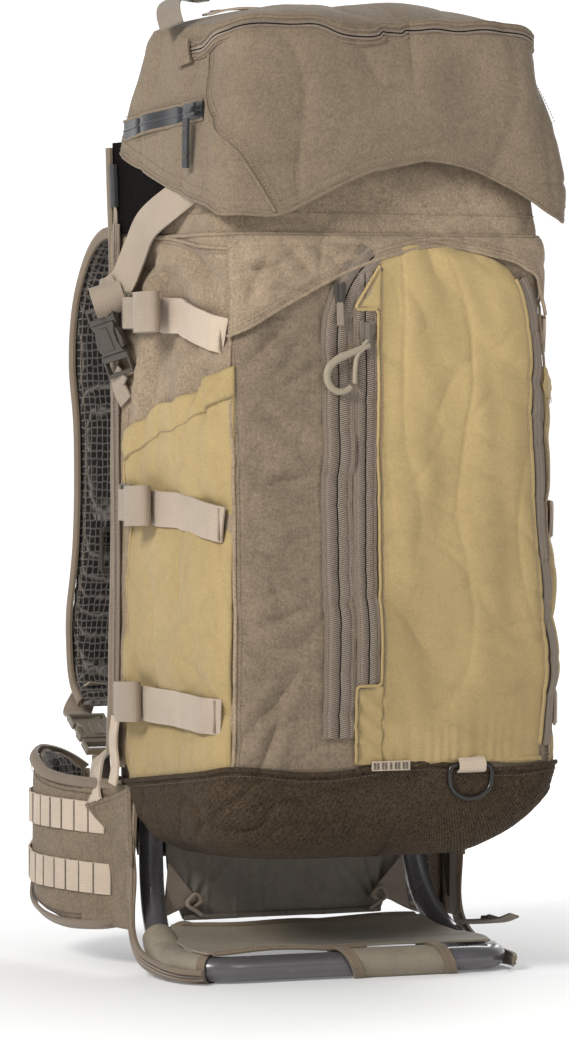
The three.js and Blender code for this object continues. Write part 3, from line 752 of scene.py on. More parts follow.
# ---------- bag ----------
SIDE_FOLDS = [                     # y and z of both ends in millimetres, depth, width
    (-120, 578, -180, 554, 12, 13), (-140, 504, -152, 462, 14, 15), (-26, 560, -70, 576, 9, 12),
    (-80, 566, -104, 545, 9, 11), (-176, 492, -166, 476, 8, 11), (-70, 500, -52, 446, 11, 15),
    (-60, 566, -84, 538, 8, 10), (-104, 570, -122, 548, 7, 9), (-164, 470, -176, 448, 8, 11),
]
FRONT_FOLDS = [                    # x and z of both ends in millimetres, depth, width
    (-128, 200, -84, 246, 4.0, 8), (-118, 172, -100, 214, 4.5, 7), (-126, 286, -72, 296, 3.0, 7),
    (-120, 340, -74, 330, 2.5, 6), (-118, 392, -70, 404, 3.0, 7), (-126, 452, -76, 430, 3.0, 8),
    (-130, 486, -92, 520, 4.0, 9), (-100, 470, -68, 486, 2.5, 6), (-132, 244, -96, 236, 2.5, 6),
    (-130, 560, -84, 570, 4.0, 8), (-60, 584, -20, 578, 3.0, 5), (30, 584, 70, 578, 3.5, 6),
    (90, 574, 128, 548, 4.0, 8), (-96, 582, -70, 556, 3.0, 7), (-128, 530, -110, 574, 3.5, 7),
]


def valleys(a, z, folds):
    """Depth of a few long folds over a face, whose places are a across and z up in metres."""
    total = np.zeros_like(a)
    for a0, z0, a1, z1, depth, width in folds:
        da, dz = (a1 - a0) * MM, (z1 - z0) * MM
        share = np.clip(((a - a0 * MM) * da + (z - z0 * MM) * dz) / (da * da + dz * dz), 0, 1)
        gap = np.hypot(a - a0 * MM - share * da, z - z0 * MM - share * dz)
        total += depth * MM * np.exp(-gap / (width * 0.42 * MM)) * (0.35 + 0.65 * np.sin(np.pi * share))
        total -= 0.45 * depth * MM * hill(gap, width * 1.5 * MM, width * 0.8 * MM) * np.sin(np.pi * share)
    return total


def bag_puff(p, g):
    x, y, z = p[..., 0], p[..., 1], p[..., 2]
    front = np.clip(-g[..., 1], 0, 1)
    side = np.abs(g[..., 0])
    body = step(z, 0.16, 0.22) * (1 - step(z, 0.60, 0.64))
    push = 1.2 * MM * field(p, 0.16, 1) + 1.0 * MM * field(p, 0.07, 2) * body
    push = push - 2.6 * MM * crease(p, 0.11, 3, (1, 1, 0.7)) * body - 1.6 * MM * crease(p, 0.06, 4, (0.8, 0.8, 1.3))
    push = push + 4.0 * MM * hill(z, 0.25, 0.07) * np.clip(x / 0.14, 0, 1) ** 3
    for z_row in STRAP_Z:
        push = push - 3.2 * MM * hill(z, z_row, 0.022) * side * step(-y, 0.02 - Y0, 0.10 - Y0)
    push = push - 2.0 * MM * hill(z, 0.592, 0.006) * front
    push = push - valleys(y - Y0, z, SIDE_FOLDS) * side**2 - valleys(x, z, FRONT_FOLDS) * front**2
    puckers = crease(p, 0.035, 5, (0.25, 1, 1.5)) * hill(x, -0.095, 0.030) * front * body
    push = push - 2.2 * MM * puckers
    return push


STRAP_Z = [sum(corner[2] for corner in box(row + "_strap_left")) / 2 for row in ("upper", "middle", "lower")]
FRONT_Y = BAG_LO[1]
REAR_Y = BAG_HI[1]
BAG = Form([                      # z, half width, front, back, squareness
    (0.096, 0.112, FRONT_Y + 0.042, REAR_Y - 0.012, 3.6),
    (0.108, 0.132, FRONT_Y + 0.018, REAR_Y - 0.003, 4.6),
    (0.125, 0.142, FRONT_Y + 0.006, REAR_Y, 6.0),
    (0.165, 0.147, FRONT_Y - 0.001, REAR_Y + 0.012, 9.0),
    (0.230, 0.149, FRONT_Y - 0.004, REAR_Y + 0.014, 9.5),
    (0.370, 0.147, FRONT_Y - 0.003, REAR_Y + 0.014, 9.5),
    (0.480, 0.144, FRONT_Y, REAR_Y + 0.014, 9.5),
    (0.540, 0.145, FRONT_Y + 0.001, REAR_Y + 0.014, 9.0),
    (0.588, 0.144, FRONT_Y + 0.003, REAR_Y + 0.006, 8.0),
    (0.606, 0.141, FRONT_Y + 0.009, REAR_Y - 0.006, 7.0),
    (0.645, 0.137, FRONT_Y + 0.017, REAR_Y - 0.010, 6.0),
    (0.676, 0.128, FRONT_Y + 0.030, REAR_Y - 0.018, 5.0),
], bag_puff)


def on_side(s, points, count=80, offset=0.0, form=None):
    flat = smooth_path([(0, y, z) for y, z in points], count)
    return (form or BAG).side(s, flat[:, 1], flat[:, 2], offset)


def seam(name, pathnormal, radius=1.3 * MM, material=None, body="pack", slot="ripstop", squash=0.7):
    path, out = pathnormal
    return cord_mesh(name, path, radius, material or M["side"], body, slot, out=out, squash=squash)


def stitches(name, pathnormal, gap=0.0, **kw):
    """Stitches beside a seam: gap moves them across it."""
    path, out = pathnormal
    across = np.cross(tangents(path), out)
    return dashes(name, path + across * gap, out, **kw)


def patch(name, outline_fn, rows, cols, material, slot, offset, thick=1.2 * MM, puff=None, flip=False):
    """Panel on the bag: outline_fn(u, v) gives form points for shares u across and v up."""
    u, v = np.meshgrid(np.linspace(0, 1, cols), np.linspace(0, 1, rows))
    push = offset + (puff(u, v) if puff is not None else 0.0)
    points, _ = outline_fn(u, v, push)
    return sheet_mesh(name, points, material, "pack", slot, thick=thick, flip=flip)


SEAM_X = -0.137                    # the vertical seam between the left side and the front
COLLAR_Z = 0.590


def wrap(s, y_rear, count, x_front=0.1385):
    """Shares of the way round the bag from a place on one side to the seam on the front, and their y."""
    rear = share_at(BAG, s * 0.149, y_rear, 0.30)
    (x, y, z), _ = BAG.front(s * x_front, 0.30)
    front = share_at(BAG, x, y, z)
    if s > 0:
        front -= 1.0                   # the shares start from the middle of this side
        rear -= round(rear)
    shares = np.linspace(rear, front, count)
    return shares, BAG.around(shares, np.full(count, 0.30))[0][:, 1]


def bag_body():
    z = np.concatenate([np.linspace(0.158, 0.586, 120), np.linspace(0.590, 0.674, 30)])
    frac = np.linspace(0, 1, 330, endpoint=False)
    f, zz = np.meshgrid(frac, z)
    points, _ = BAG.around(f, zz)
    main = sheet_mesh("bag_body", points, M["side"], closed=True, thick=1.5 * MM)
    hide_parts("bag_shell")
    # front-left strip and collar in ripstop, laid over the body
    u, v = np.meshgrid(np.linspace(SEAM_X, 0.134, 150), np.linspace(0.165, 0.588, 170))
    points, _ = BAG.front(u, v, 1.3 * MM)
    sheet_mesh("front_panel", points, M["ripstop"], thick=1.0 * MM)
    for s, name in SIDES:
        line = BAG.front(np.full(110, s * abs(SEAM_X)), np.linspace(0.166, 0.588, 110), 2.0 * MM)
        seam("front_seam_" + name, line, 1.5 * MM)
        stitches("front_seam_thread_" + name, line, -s * 4 * MM)
    frac = np.linspace(0, 1, 301)
    ring = BAG.around(frac[:-1], np.full(300, COLLAR_Z), 1.0 * MM)
    loop = (close_ring(ring[0]), close_ring(ring[1]))
    seam("collar_seam", loop, 1.6 * MM)
    ring = BAG.around(frac[:-1], np.full(300, 0.607), 0.6 * MM)
    loop = (close_ring(ring[0]), close_ring(ring[1]))
    stitches("collar_thread", loop)
    for s, name in SIDES:
        shares, ys = wrap(s, Y0 - 0.03, 60)
        line = BAG.around(shares, np.interp(-ys, (0.03 - Y0, 0.12 - Y0, 0.21 - Y0), (0.592, 0.586, 0.578)), 1.2 * MM)
        seam("side_top_seam_" + name, line, 1.4 * MM)
        stitches("side_top_thread_" + name, line, 4 * MM)
        line = BAG.side(s, np.full(100, Y0 - 0.018), np.linspace(0.17, 0.585, 100), 1.0 * MM)
        seam(f"rear_seam_{name}_0", line, 1.5 * MM)


def yoke_edge(x):
    """Height of the yoke's arched lower edge."""
    rows = [(-0.144, 0.5065), (-0.085, 0.540), (-0.032, 0.5655), (-0.007, 0.5735), (0.046, 0.5815), (0.081, 0.5755),
            (0.113, 0.5655), (0.129, 0.5505), (0.139, 0.518)]
    return curve_interp(x, rows, 1)


def yoke():
    def shape(u, v, push):
        x = -0.1375 + 0.2745 * u
        low = yoke_edge(x)
        return BAG.front(x, low + (0.5895 - low) * v, push)

    def lift(u, v):
        ends = np.clip(1 - np.minimum(u, 1 - u) / 0.22, 0, 1)
        return 4.0 * MM * (1 - v) ** 2 * ends

    patch("yoke", shape, 34, 150, M["yoke"], "ripstop", 3.0 * MM, 1.4 * MM, lift)
    x = np.linspace(-0.1375, 0.136, 160)
    ends = np.clip(1 - np.minimum((x + 0.1375) / 0.2735, 1 - (x + 0.1375) / 0.2735) / 0.22, 0, 1)
    edge = BAG.front(x, yoke_edge(x), 3.4 * MM + 4.0 * MM * ends)
    seam("yoke_edge", edge, 1.5 * MM, M["yoke"])
    stitches("yoke_thread", BAG.front(x, yoke_edge(x) + 5 * MM, 3.3 * MM + 3.2 * MM * ends))
    stitches("yoke_thread_upper", BAG.front(x, yoke_edge(x) + 8 * MM, 3.3 * MM + 2.8 * MM * ends))


POCKET_LEFT = -0.0165
POCKET_WIDE = -0.0372              # below and above the inner zip the pocket reaches further left


def pocket_right(z):
    rows = [(0.172, 0.126), (0.203, 0.1285), (0.228, 0.1305), (0.262, 0.1310), (0.321, 0.126), (0.366, 0.1225),
            (0.445, 0.1190), (0.500, 0.1215), (0.523, 0.1195), (0.549, 0.1105), (0.569, 0.0985), (0.584, 0.084)]
    return curve_interp(z, rows, 1)


def pocket_top(x):
    return np.minimum(yoke_edge(x) + 0.004, 0.584)


def front_pocket():
    def shape(u, v, push):
        z0, x0 = 0.1745 - 0.002 * np.sin(u * 9), POCKET_LEFT
        zz = z0 + (0.560 - z0) * v
        wide = pocket_right(np.minimum(zz, 0.523))
        z = z0 + (pocket_top(x0 + (wide - x0) * u) - z0) * v
        x = x0 + (pocket_right(z) - x0) * u
        return BAG.front(x, z, push)

    def lift(u, v):
        dome = (np.clip(np.sin(np.pi * np.clip(u, 0, 1)), 0, 1) ** 0.42
                * np.clip(np.sin(np.pi * np.clip(0.03 + 0.97 * v, 0, 1)), 0, 1) ** 0.34)
        p = np.stack([u * 0.15, v * 0, v * 0.4], axis=-1)
        soft = 1.5 * MM * field(p, 0.07, 21, stretch=(1, 1, 0.6))
        soft = soft + 0.7 * MM * field(p, 0.025, 23, stretch=(1, 1, 0.4))
        gather = 1.1 * MM * np.sin(u * 95 + 2 * np.sin(u * 17)) * np.exp(-v / 0.045) * dome
        sag = -4.5 * MM * hill(u, 0.90, 0.10) * hill(v, 0.14, 0.05)
        pull = -2.2 * MM * crease(p, 0.10, 24, (1, 1, 0.45)) * dome
        return 7.0 * MM * dome + soft * dome + gather + sag * 0.6 + pull

    obj = patch("front_pocket_cloth", shape, 150, 90, M["khaki"], "khaki", 2.0 * MM, 1.2 * MM, lift)
    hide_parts("front_pocket")

    def foot(u, v, push):
        return BAG.front(POCKET_WIDE + (POCKET_LEFT + 2 * MM - POCKET_WIDE) * u, 0.1745 + (0.236 - 0.1745) * v, push)

    def garage(u, v, push):
        left = POCKET_WIDE + 0.0225 * v
        return BAG.front(left + (POCKET_LEFT + 2 * MM - left) * u, 0.532 + (0.566 - 0.532) * v, push)

    patch("pocket_foot", foot, 30, 20, M["khaki"], "khaki", 3.0 * MM, 1.2 * MM,
          lambda u, v: 1.6 * MM * np.sin(np.pi * (0.15 + 0.85 * u) / 2) + 0.8 * MM * np.sin(v * 22 + u * 6))
    patch("pocket_garage", garage, 20, 16, M["khaki"], "khaki", 3.6 * MM, 1.2 * MM,
          lambda u, v: 1.4 * MM * np.sin(np.pi * (0.15 + 0.85 * u) / 2))
    border = [(POCKET_WIDE, 0.176), (POCKET_WIDE, 0.234), (POCKET_WIDE + 0.002, 0.2365),
              (POCKET_LEFT - 0.002, 0.2365), (POCKET_LEFT, 0.239), (POCKET_LEFT, 0.529),
              (POCKET_LEFT - 0.002, 0.5315), (POCKET_WIDE + 0.003, 0.5315),
              (POCKET_WIDE + 0.001, 0.534), (-0.0148, 0.5665)]
    line = np.concatenate([np.linspace(a, b, 60)[:-1] for a, b in zip(np.array(border)[:-1], np.array(border)[1:])])
    edge = BAG.front(line[:, 0], line[:, 1], 4.6 * MM)
    seam("pocket_edge_left", edge, 1.3 * MM, M["khaki"], slot="khaki")
    stitches("pocket_edge_thread", edge, 2.4 * MM, pitch=2.4 * MM, length=1.7 * MM)
    z = np.linspace(0.186, 0.556, 120)
    stitches("pocket_thread_left", BAG.front(np.full(120, POCKET_LEFT + 3 * MM), z, 6.2 * MM))
    edge = BAG.front(pocket_right(z) - 0.001, z, 3.2 * MM)
    seam("pocket_edge_right", edge, 1.7 * MM, M["khaki"], slot="khaki")
    tape = BAG.front(pocket_right(z) + 0.006, z, 2.6 * MM)
    strap("pocket_tape_right", tape[0], tape[1], 9 * MM, 1.2 * MM, M["tape"], slot="zip")
    coil("pocket_coil_right", tape, 3.4 * MM)
    stitches("pocket_thread_right", BAG.front(pocket_right(z) - 4.5 * MM, z, 5.6 * MM))
    x = np.linspace(POCKET_LEFT, 0.127, 90)
    edge = BAG.front(x, np.full(90, 0.1755), 3.2 * MM)
    seam("pocket_edge_bottom", edge, 1.8 * MM, M["khaki"], slot="khaki")


def coil(name, pathnormal, half, body="pack", pitch=1.6 * MM, material=None, slot="zip"):
    """Closed coil zip: two rows of small rounded teeth that meet along a line."""
    path, out = pathnormal
    run = run_length(path)
    at = np.arange(0, run[-1], pitch)
    p, o = resample(at, run, path), unit(resample(at, run, out))
    t = tangents(p)
    a = np.cross(t, o)
    verts, faces = [], []
    for side in (-1, 1):
        c = p + t * (pitch * 0.25 * side)
        inner, outer = a * (0.30 * MM * side), a * (half * side) + t * (half * 0.22)
        low, high = -o * 0.2 * MM, o * 0.9 * MM
        foot, top = t * pitch * 0.32, t * pitch * 0.2
        corners = [c + inner - foot + low, c + inner + foot + low, c + outer + foot + low, c + outer - foot + low,
                   c + inner * 2 - top + high, c + inner * 2 + top + high,
                   c + outer * 0.8 + top + high, c + outer * 0.8 - top + high]
        teeth = bricks(len(p), sum(len(v) for v in verts))
        faces += teeth if side == 1 else [tuple(reversed(face)) for face in teeth]
        verts.append(np.stack(corners, axis=1).reshape(-1, 3))
    return solid_mesh(name, np.vstack(verts), faces, material or M["coil"], body, slot, smooth=True)


def zip_run(name, pathnormal, width, body="pack", tape=None, teeth=None, slot="zip", half=2.2 * MM,
            thread=True, tape_thick=1.0 * MM):
    """Zip: woven tape with a coil down its middle and a row of stitches near each edge."""
    path, out = pathnormal
    made = [strap(name + "_tape", path, out, width, tape_thick, tape or M["tape"], body, slot)]
    lifted = path + out * (tape_thick * 0.6)
    made.append(coil(name + "_coil", (lifted, out), half, body, material=teeth, slot=slot))
    # painted shade: a thin near-black cord in the crevice between the two rows of teeth
    gap = lifted + out * 0.35 * MM
    made.append(cord_mesh(name + "_gap", gap, 0.55 * MM, M["dark"], body, slot, sides=6, out=out))
    if thread:
        for side in (-1, 1):
            edge = side * (width / 2 - 2.2 * MM)
            made.append(stitches(f"{name}_thread_{side + 1}", (lifted, out), edge, body=body))
    return made


def slider(name, centre, along, out, size=(9 * MM, 16 * MM, 3.4 * MM), material=None, body="pack", slot="plastic"):
    """Zip slider: a shield-shaped body with a raised bridge."""
    t, o = np.array(along, float), np.array(out, float)
    t, o = t / np.linalg.norm(t), o / np.linalg.norm(o)
    a = np.cross(t, o)
    w, l, h = size
    outline = [(-0.5, 0.42), (-0.28, 0.5), (-0.08, 0.36), (0.08, 0.36), (0.28, 0.5), (0.5, 0.42), (0.5, 0.05),
               (0.36, -0.5), (-0.36, -0.5), (-0.5, 0.05)]
    verts, faces = prism([(x * w, y * l) for x, y in outline], h * 0.6)
    bridge = prism([(x * w * 0.34, y * l * 0.78) for x, y in
                    ((-0.5, 0.5), (0.5, 0.5), (0.5, -0.3), (0.3, -0.5), (-0.3, -0.5), (-0.5, -0.3))], h * 0.5)
    verts = [v for v in verts] + [(v[0], v[1], v[2] + h * 0.58) for v in bridge[0]]
    faces = faces + [tuple(i + len(outline) * 2 for i in f) for f in bridge[1]]
    world = [np.array(centre) + a * v[0] + t * v[1] + o * v[2] for v in verts]
    return solid_mesh(name, world, orient(faces, a, t, o), material or M["plastic_dark"], body, slot, bevel=0.5 * MM)


def prism(outline, height):
    """Upright prism over a counter-clockwise outline, from 0 to height."""
    n = len(outline)
    verts = [(x, y, 0.0) for x, y in outline] + [(x, y, height) for x, y in outline]
    faces = [tuple(reversed(range(n))), tuple(range(n, 2 * n))]
    faces += [(i, (i + 1) % n, n + (i + 1) % n, n + i) for i in range(n)]
    return verts, faces


def orient(faces, a, t, o):
    if np.dot(np.cross(a, t), o) > 0:
        return faces
    return [tuple(reversed(f)) for f in faces]


# heights of each compression strap's edges at its rear and front ends, and how far its rear end lies
# from the uprights
STRAP_FALL = {"upper": (0.541, 0.518, 0.522, 0.499, 0.089), "middle": (0.389, 0.362, 0.376, 0.351, 0.087),
              "lower": (0.230, 0.207, 0.225, 0.203, 0.060)}


def side_pockets():
    for s, name in SIDES:
        shares, ys = wrap(s, Y0 - 0.016, 70)
        even = np.linspace(0, 1, 70)

        def top(u):
            return 0.434 + 0.053 * u

        def shape(u, v, push, top=top, shares=shares, even=even):
            f = np.interp(u, even, shares)
            z0 = 0.148 + 0.017 * u
            return BAG.around(f, z0 + (top(u) - z0) * v, push)

        def lift(u, v, s=s, top=top, ys=ys, even=even):
            y = np.interp(u, even, ys)
            z0 = 0.148 + 0.017 * u
            z = z0 + (top(u) - z0) * v
            dome = (np.clip(np.sin(np.pi * np.clip(u, 0, 1)), 0, 1) ** 0.4
                    * np.clip(np.sin(np.pi * np.clip(0.02 + 0.75 * v, 0, 1)), 0, 1) ** 0.4)
            p = np.stack([u * 0.15, v * 0, v * 0.3], axis=-1)
            push = 4.5 * MM * dome + 1.0 * MM * field(p, 0.06, 31 + s, stretch=(1, 1, 0.6)) * dome
            push += 1.0 * MM * np.sin(u * 80 + 3 * np.sin(u * 13)) * np.exp(-v / 0.06)
            push -= 1.8 * MM * crease(p, 0.09, 33 + s, (1, 1, 0.45)) * dome
            for row in ("middle", "lower"):
                top_r, low_r, top_f, low_f, rear = STRAP_FALL[row]
                under = np.interp(-y, (rear - 0.006 - Y0, -ys[-1]), ((top_r + low_r) / 2, (top_f + low_f) / 2))
                push -= 2.8 * MM * hill(z, under, 0.017)
            return push * (0.1 + 0.9 * step(v, 0.0, 0.07))

        obj = patch("side_pocket_cloth_" + name, shape, 110, 70, M["pocket"], "khaki", 1.6 * MM, 1.1 * MM, lift,
                    flip=(s > 0))
        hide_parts("side_pocket_" + name)

        def hem(u, v, push, top=top, shares=shares, even=even):
            f = np.interp(u, even, shares)
            return BAG.around(f, top(u) - 0.023 + 0.0235 * v, push)

        patch("side_pocket_hem_" + name, hem, 12, 70, M["pocket"], "khaki", 3.4 * MM, 1.6 * MM,
              lambda u, v: 1.8 * MM * np.sin(np.pi * u) ** 0.5 + 1.2 * MM * np.sin(np.pi * v), flip=(s > 0))
        mid = np.sin(np.pi * even) ** 0.5
        stitches("side_pocket_thread_" + name, BAG.around(shares, top(even) - 0.0225, 4.6 * MM + 1.8 * MM * mid))
        z = np.linspace(0.150, top(0.0), 90)
        seam("side_pocket_edge_" + name, BAG.around(np.full(90, shares[0]), z, 2.2 * MM), 1.6 * MM,
             M["pocket"], slot="khaki")


def boot():
    z = np.linspace(0.0985, 0.172, 40)
    frac = np.linspace(0, 1, 360, endpoint=False)
    f, zz = np.meshgrid(frac, z)

    def low_edge(points):
        x, y = points[..., 0], points[..., 1]
        corner = np.clip((np.abs(x) - 0.06) / 0.085, 0, 1) ** 2 * np.clip((Y0 - 0.02 - y) / 0.17, 0, 1)
        return np.where(x > 0, 0.030 * corner, 0.004 * corner)

    points, out = BAG.around(f, zz)
    share = (zz - z[0]) / (z[-1] - z[0])
    rise = low_edge(points)
    wave_top = 0.0035 * np.sin(points[..., 0] * 38 + 1) * np.clip(-out[..., 1], 0, 1)
    bulge = 2.6 * np.sin(np.pi * np.clip(share * 0.9 + 0.1, 0, 1)) ** 0.5 + 3.4 * share**3
    points = points + out * (bulge * MM)[..., None]
    back_drop = 0.019 * np.clip((points[..., 1] - (Y0 - 0.205)) / 0.19, 0, 1) * np.abs(out[..., 0])
    points[..., 2] += rise * (1 - share) ** 1.5 + (wave_top - 0.001 - back_drop) * share
    wrinkle = crease(points, 0.06, 41, (1, 1, 1.6)) * np.sin(np.pi * share)
    corner = hill(points[..., 0], -0.13, 0.05) * hill(points[..., 1], Y0 - 0.20, 0.07)
    points = points - out * ((1.2 * MM + 4.5 * MM * corner) * wrinkle)[..., None]
    obj = sheet_mesh("boot_cloth", points, M["boot"], slot="twill", closed=True, thick=1.5 * MM)
    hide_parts("bag_base")
    # floor of the boot: the lowest ring drawn in towards its middle
    ring = points[0]
    centre = ring.mean(axis=0)
    shares = np.linspace(0, 1, 14)
    floor = np.stack([ring + (centre - ring) * s + np.array((0, 0, -6 * MM * math.sin(math.pi / 2 * s)))
                      for s in shares * 0.985])
    sheet_mesh("boot_floor", floor, M["boot"], slot="twill", closed=True, flip=True, thick=1.2 * MM)
    top = points[-1]
    loop, outs = close_ring(top), close_ring(out[-1])
    seam("boot_seam", (loop + outs * 0.8 * MM, outs), 2.0 * MM, M["boot"], slot="twill")
    stitches("boot_thread", (loop + outs * 1.6 * MM - UP * 5 * MM, outs), material=M["thread_dark"])


bag_body()
yoke()
front_pocket()
side_pockets()
boot()


def front_zips():
    lo, hi = box("outer_zip")
    z = np.linspace(lo[2] - 2 * MM, hi[2] + 8 * MM, 140)
    x = (lo[0] + hi[0]) / 2 - 0.5 * MM + 0.6 * MM * np.sin(z * 30)
    track = smooth_path([(a, 0, b) for a, b in zip(x[::9], z[::9]) if b < 0.512]
                        + [(-0.0487, 0, 0.5290), (-0.0425, 0, 0.5465), (-0.0330, 0, 0.5610),
                           (-0.0200, 0, 0.5730)], 170)
    parts = zip_run("outer_zip", BAG.front(track[:, 0], track[:, 2], 2.6 * MM), 27 * MM, half=9.6 * MM)
    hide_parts("outer_zip")
    lo, hi = box("inner_zip")
    z = np.linspace(lo[2] - 2 * MM, hi[2] + 30 * MM, 130)
    x = (lo[0] + hi[0]) / 2 - 0.3 * MM + 0.6 * MM * np.sin(z * 26 + 2)
    points, out = BAG.front(x, z, 2.9 * MM)
    points = points - out * (2.6 * MM * (1 - step(z, 0.2335, 0.2375)))[:, None]
    parts = zip_run("inner_zip", (points, out), 20 * MM, half=7.6 * MM)
    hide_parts("inner_zip")


front_zips()


# ---------- lid ----------
RIM_Z = LID_HI[2] - 25 * MM


def lid_puff(p, g):
    z = p[..., 2]
    up = step(z, 0.60, 0.64)
    push = 1.7 * MM * field(p, 0.15, 51) + 1.0 * MM * field(p, 0.06, 52)
    push = push - 3.0 * MM * crease(p, 0.15, 53, (1.2, 1.2, 0.25)) * up
    push = push - 2.2 * MM * crease(p, 0.10, 54, (0.35, 0.35, 1.3)) * (1 - step(z, 0.64, 0.70))
    return push + 1.2 * MM


LID = Form([
    (0.596, 0.1525, Y0 - 0.2165, Y0 + 0.010, 11.0),
    (0.612, 0.1530, Y0 - 0.2175, Y0 + 0.013, 11.0),
    (0.643, 0.1525, Y0 - 0.2175, Y0 + 0.015, 11.0),
    (0.671, 0.1510, Y0 - 0.2175, Y0 + 0.014, 10.0),
    (0.698, 0.1460, Y0 - 0.2165, Y0 + 0.008, 8.5),
    (0.718, 0.1405, Y0 - 0.2140, Y0 + 0.001, 7.0),
    (0.735, 0.1375, Y0 - 0.2110, Y0 - 0.003, 6.5),
    (0.748, 0.1355, Y0 - 0.2070, Y0 - 0.006, 6.0),
    (RIM_Z, 0.1320, Y0 - 0.2010, Y0 - 0.010, 5.5),
], lid_puff)


def on_ring(form, points, count, offset=0.0):
    """Path round a form through (x, y, z) points."""
    flat = [(share_at(form, x, y, z), 0, z) for x, y, z in points]
    line = smooth_path([(f * 0.7, 0, z) for f, _, z in flat], count)
    return form.around(line[:, 0] / 0.7, line[:, 2], offset)


FRONT_HEM = [(-0.149, 0.604), (-0.141, 0.605), (-0.105, 0.605), (-0.066, 0.622), (-0.032, 0.637), (0.007, 0.648),
             (0.054, 0.646), (0.081, 0.638), (0.113, 0.621), (0.132, 0.609), (0.149, 0.602)]


def lid_hem(x, y):
    back = np.interp(Y0 - y, (-0.007, 0.119, 0.217), (0.663, 0.627, 0.607))
    front = curve_interp(x, FRONT_HEM, 1)
    share = step(Y0 - y, 0.188, 0.2125)
    return back + (front - back) * share


def crown_z(x, y):
    w, f, b, n = (a.item() for a in LID.at(np.array([RIM_Z])))
    c, d = (f + b) / 2, (b - f) / 2
    r = np.clip((np.abs(x / w) ** n + np.abs((y - c) / d) ** n) ** (1 / n), 0, 1)
    return RIM_Z + 22 * MM * (1 - r**2.4)


def lid_shell():
    frac = np.linspace(0, 1, 350, endpoint=False)
    base, _ = LID.around(frac, np.full(350, 0.64))
    hem = lid_hem(base[:, 0], base[:, 1])
    v = np.linspace(0, 1, 92)[:, None]
    z = hem[None, :] + (RIM_Z - hem[None, :]) * v
    points, out = LID.around(np.broadcast_to(frac, z.shape), z)
    ring = points[-1]
    centre = np.array((0.0, float(ring[:, 1].min() + ring[:, 1].max()) / 2, 0.0))
    crown = []
    for t in np.linspace(0, 1, 42)[1:]:
        r = 1 - t * 0.985
        layer = centre + (ring - centre) * np.array((r, r, 1.0))
        rise = 22 * MM * (1 - r**2.4)
        wrinkle = (1.4 * MM * field(layer, 0.09, 55) - 2.2 * MM * crease(layer, 0.10, 56)) * min(1.0, t * 4)
        layer[:, 2] = RIM_Z + rise + wrinkle
        crown.append(layer)
    shell = np.concatenate([points, np.array(crown)])
    obj = sheet_mesh("lid_shell", shell, M["lid"], "lid", "ripstop", closed=True, thick=1.5 * MM)
    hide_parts("lid")
    cap = np.array([crown[-1], centre + (crown[-1] - centre) * np.array((0.01, 0.01, 1.0))])
    sheet_mesh("lid_crown_cap", cap, M["lid"], "lid", "ripstop", closed=True)
    loop, outs = close_ring(points[0]), close_ring(out[0])
    cord_mesh("lid_hem", loop, 1.4 * MM, M["lid"], "lid", "ripstop", out=outs, squash=0.8)
    for k, lift in enumerate((4 * MM, 11 * MM)):
        p, o = LID.around(frac, hem + lift, 0.2 * MM)
        stitches(f"lid_hem_thread_{k}", (close_ring(p), close_ring(o)), body="lid")


def lid_seams():
    for s, name in SIDES:
        corner = [(s * 0.137, Y0 - 0.155, 0.742), (s * 0.141, Y0 - 0.164, 0.710), (s * 0.147, Y0 - 0.188, 0.677),
                  (s * 0.140, Y0 - 0.214, 0.655), (s * 0.126, Y0 - 0.217, 0.636), (s * 0.108, Y0 - 0.217, 0.607)]
        line = on_ring(LID, corner if s < 0 else corner[:3], 90, 0.8 * MM)
        seam("lid_seam_" + name, line, 1.5 * MM, M["lid"], "lid")
        stitches("lid_seam_thread_a_" + name, line, s * 4 * MM, body="lid")
        stitches("lid_seam_thread_b_" + name, line, s * 8.5 * MM, body="lid")


def lid_zip():
    points = [(-0.150, Y0 - 0.120, 0.733), (-0.148, Y0 - 0.150, 0.738), (-0.143, Y0 - 0.182, 0.747),
              (-0.122, Y0 - 0.206, 0.7535), (-0.072, Y0 - 0.208, 0.7535), (-0.033, Y0 - 0.208, 0.7450),
              (0.006, Y0 - 0.208, 0.7495), (0.059, Y0 - 0.208, 0.7525), (0.112, Y0 - 0.206, 0.7515),
              (0.136, Y0 - 0.195, 0.7460), (0.144, Y0 - 0.160, 0.741)]
    path, out = on_ring(LID, points, 320, 1.4 * MM)
    path = path + UP * (1.2 * MM * np.sin(np.arange(320) * 0.16) * np.sin(np.arange(320) * 0.045))[:, None]
    parts = zip_run("lid_zip_main", (path, out), 15 * MM, "lid", M["lid"], None, half=2.6 * MM, tape_thick=1.6 * MM)
    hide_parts("lid_zip")
    for side in (-1, 1):
        across = np.cross(tangents(path), out)
        cord_mesh(f"lid_zip_piping_{side + 1}", path + across * side * 5.2 * MM + out * 1.0 * MM, 1.2 * MM, M["lid"],
                  "lid", "ripstop", out=out)
    # folded tab over each end of the zip
    for k, at in enumerate((4, -5)):
        o, t = out[at], tangents(path)[at]
        tab = np.stack([path[at] + t * s + o * (2.6 * MM) for s in np.linspace(-8 * MM, 10 * MM, 8)])
        strap(f"lid_zip_tab_{k}", tab, np.tile(o, (8, 1)), 19 * MM, 2.0 * MM, M["lid"], "lid", "ripstop",
              crown=1.2 * MM)


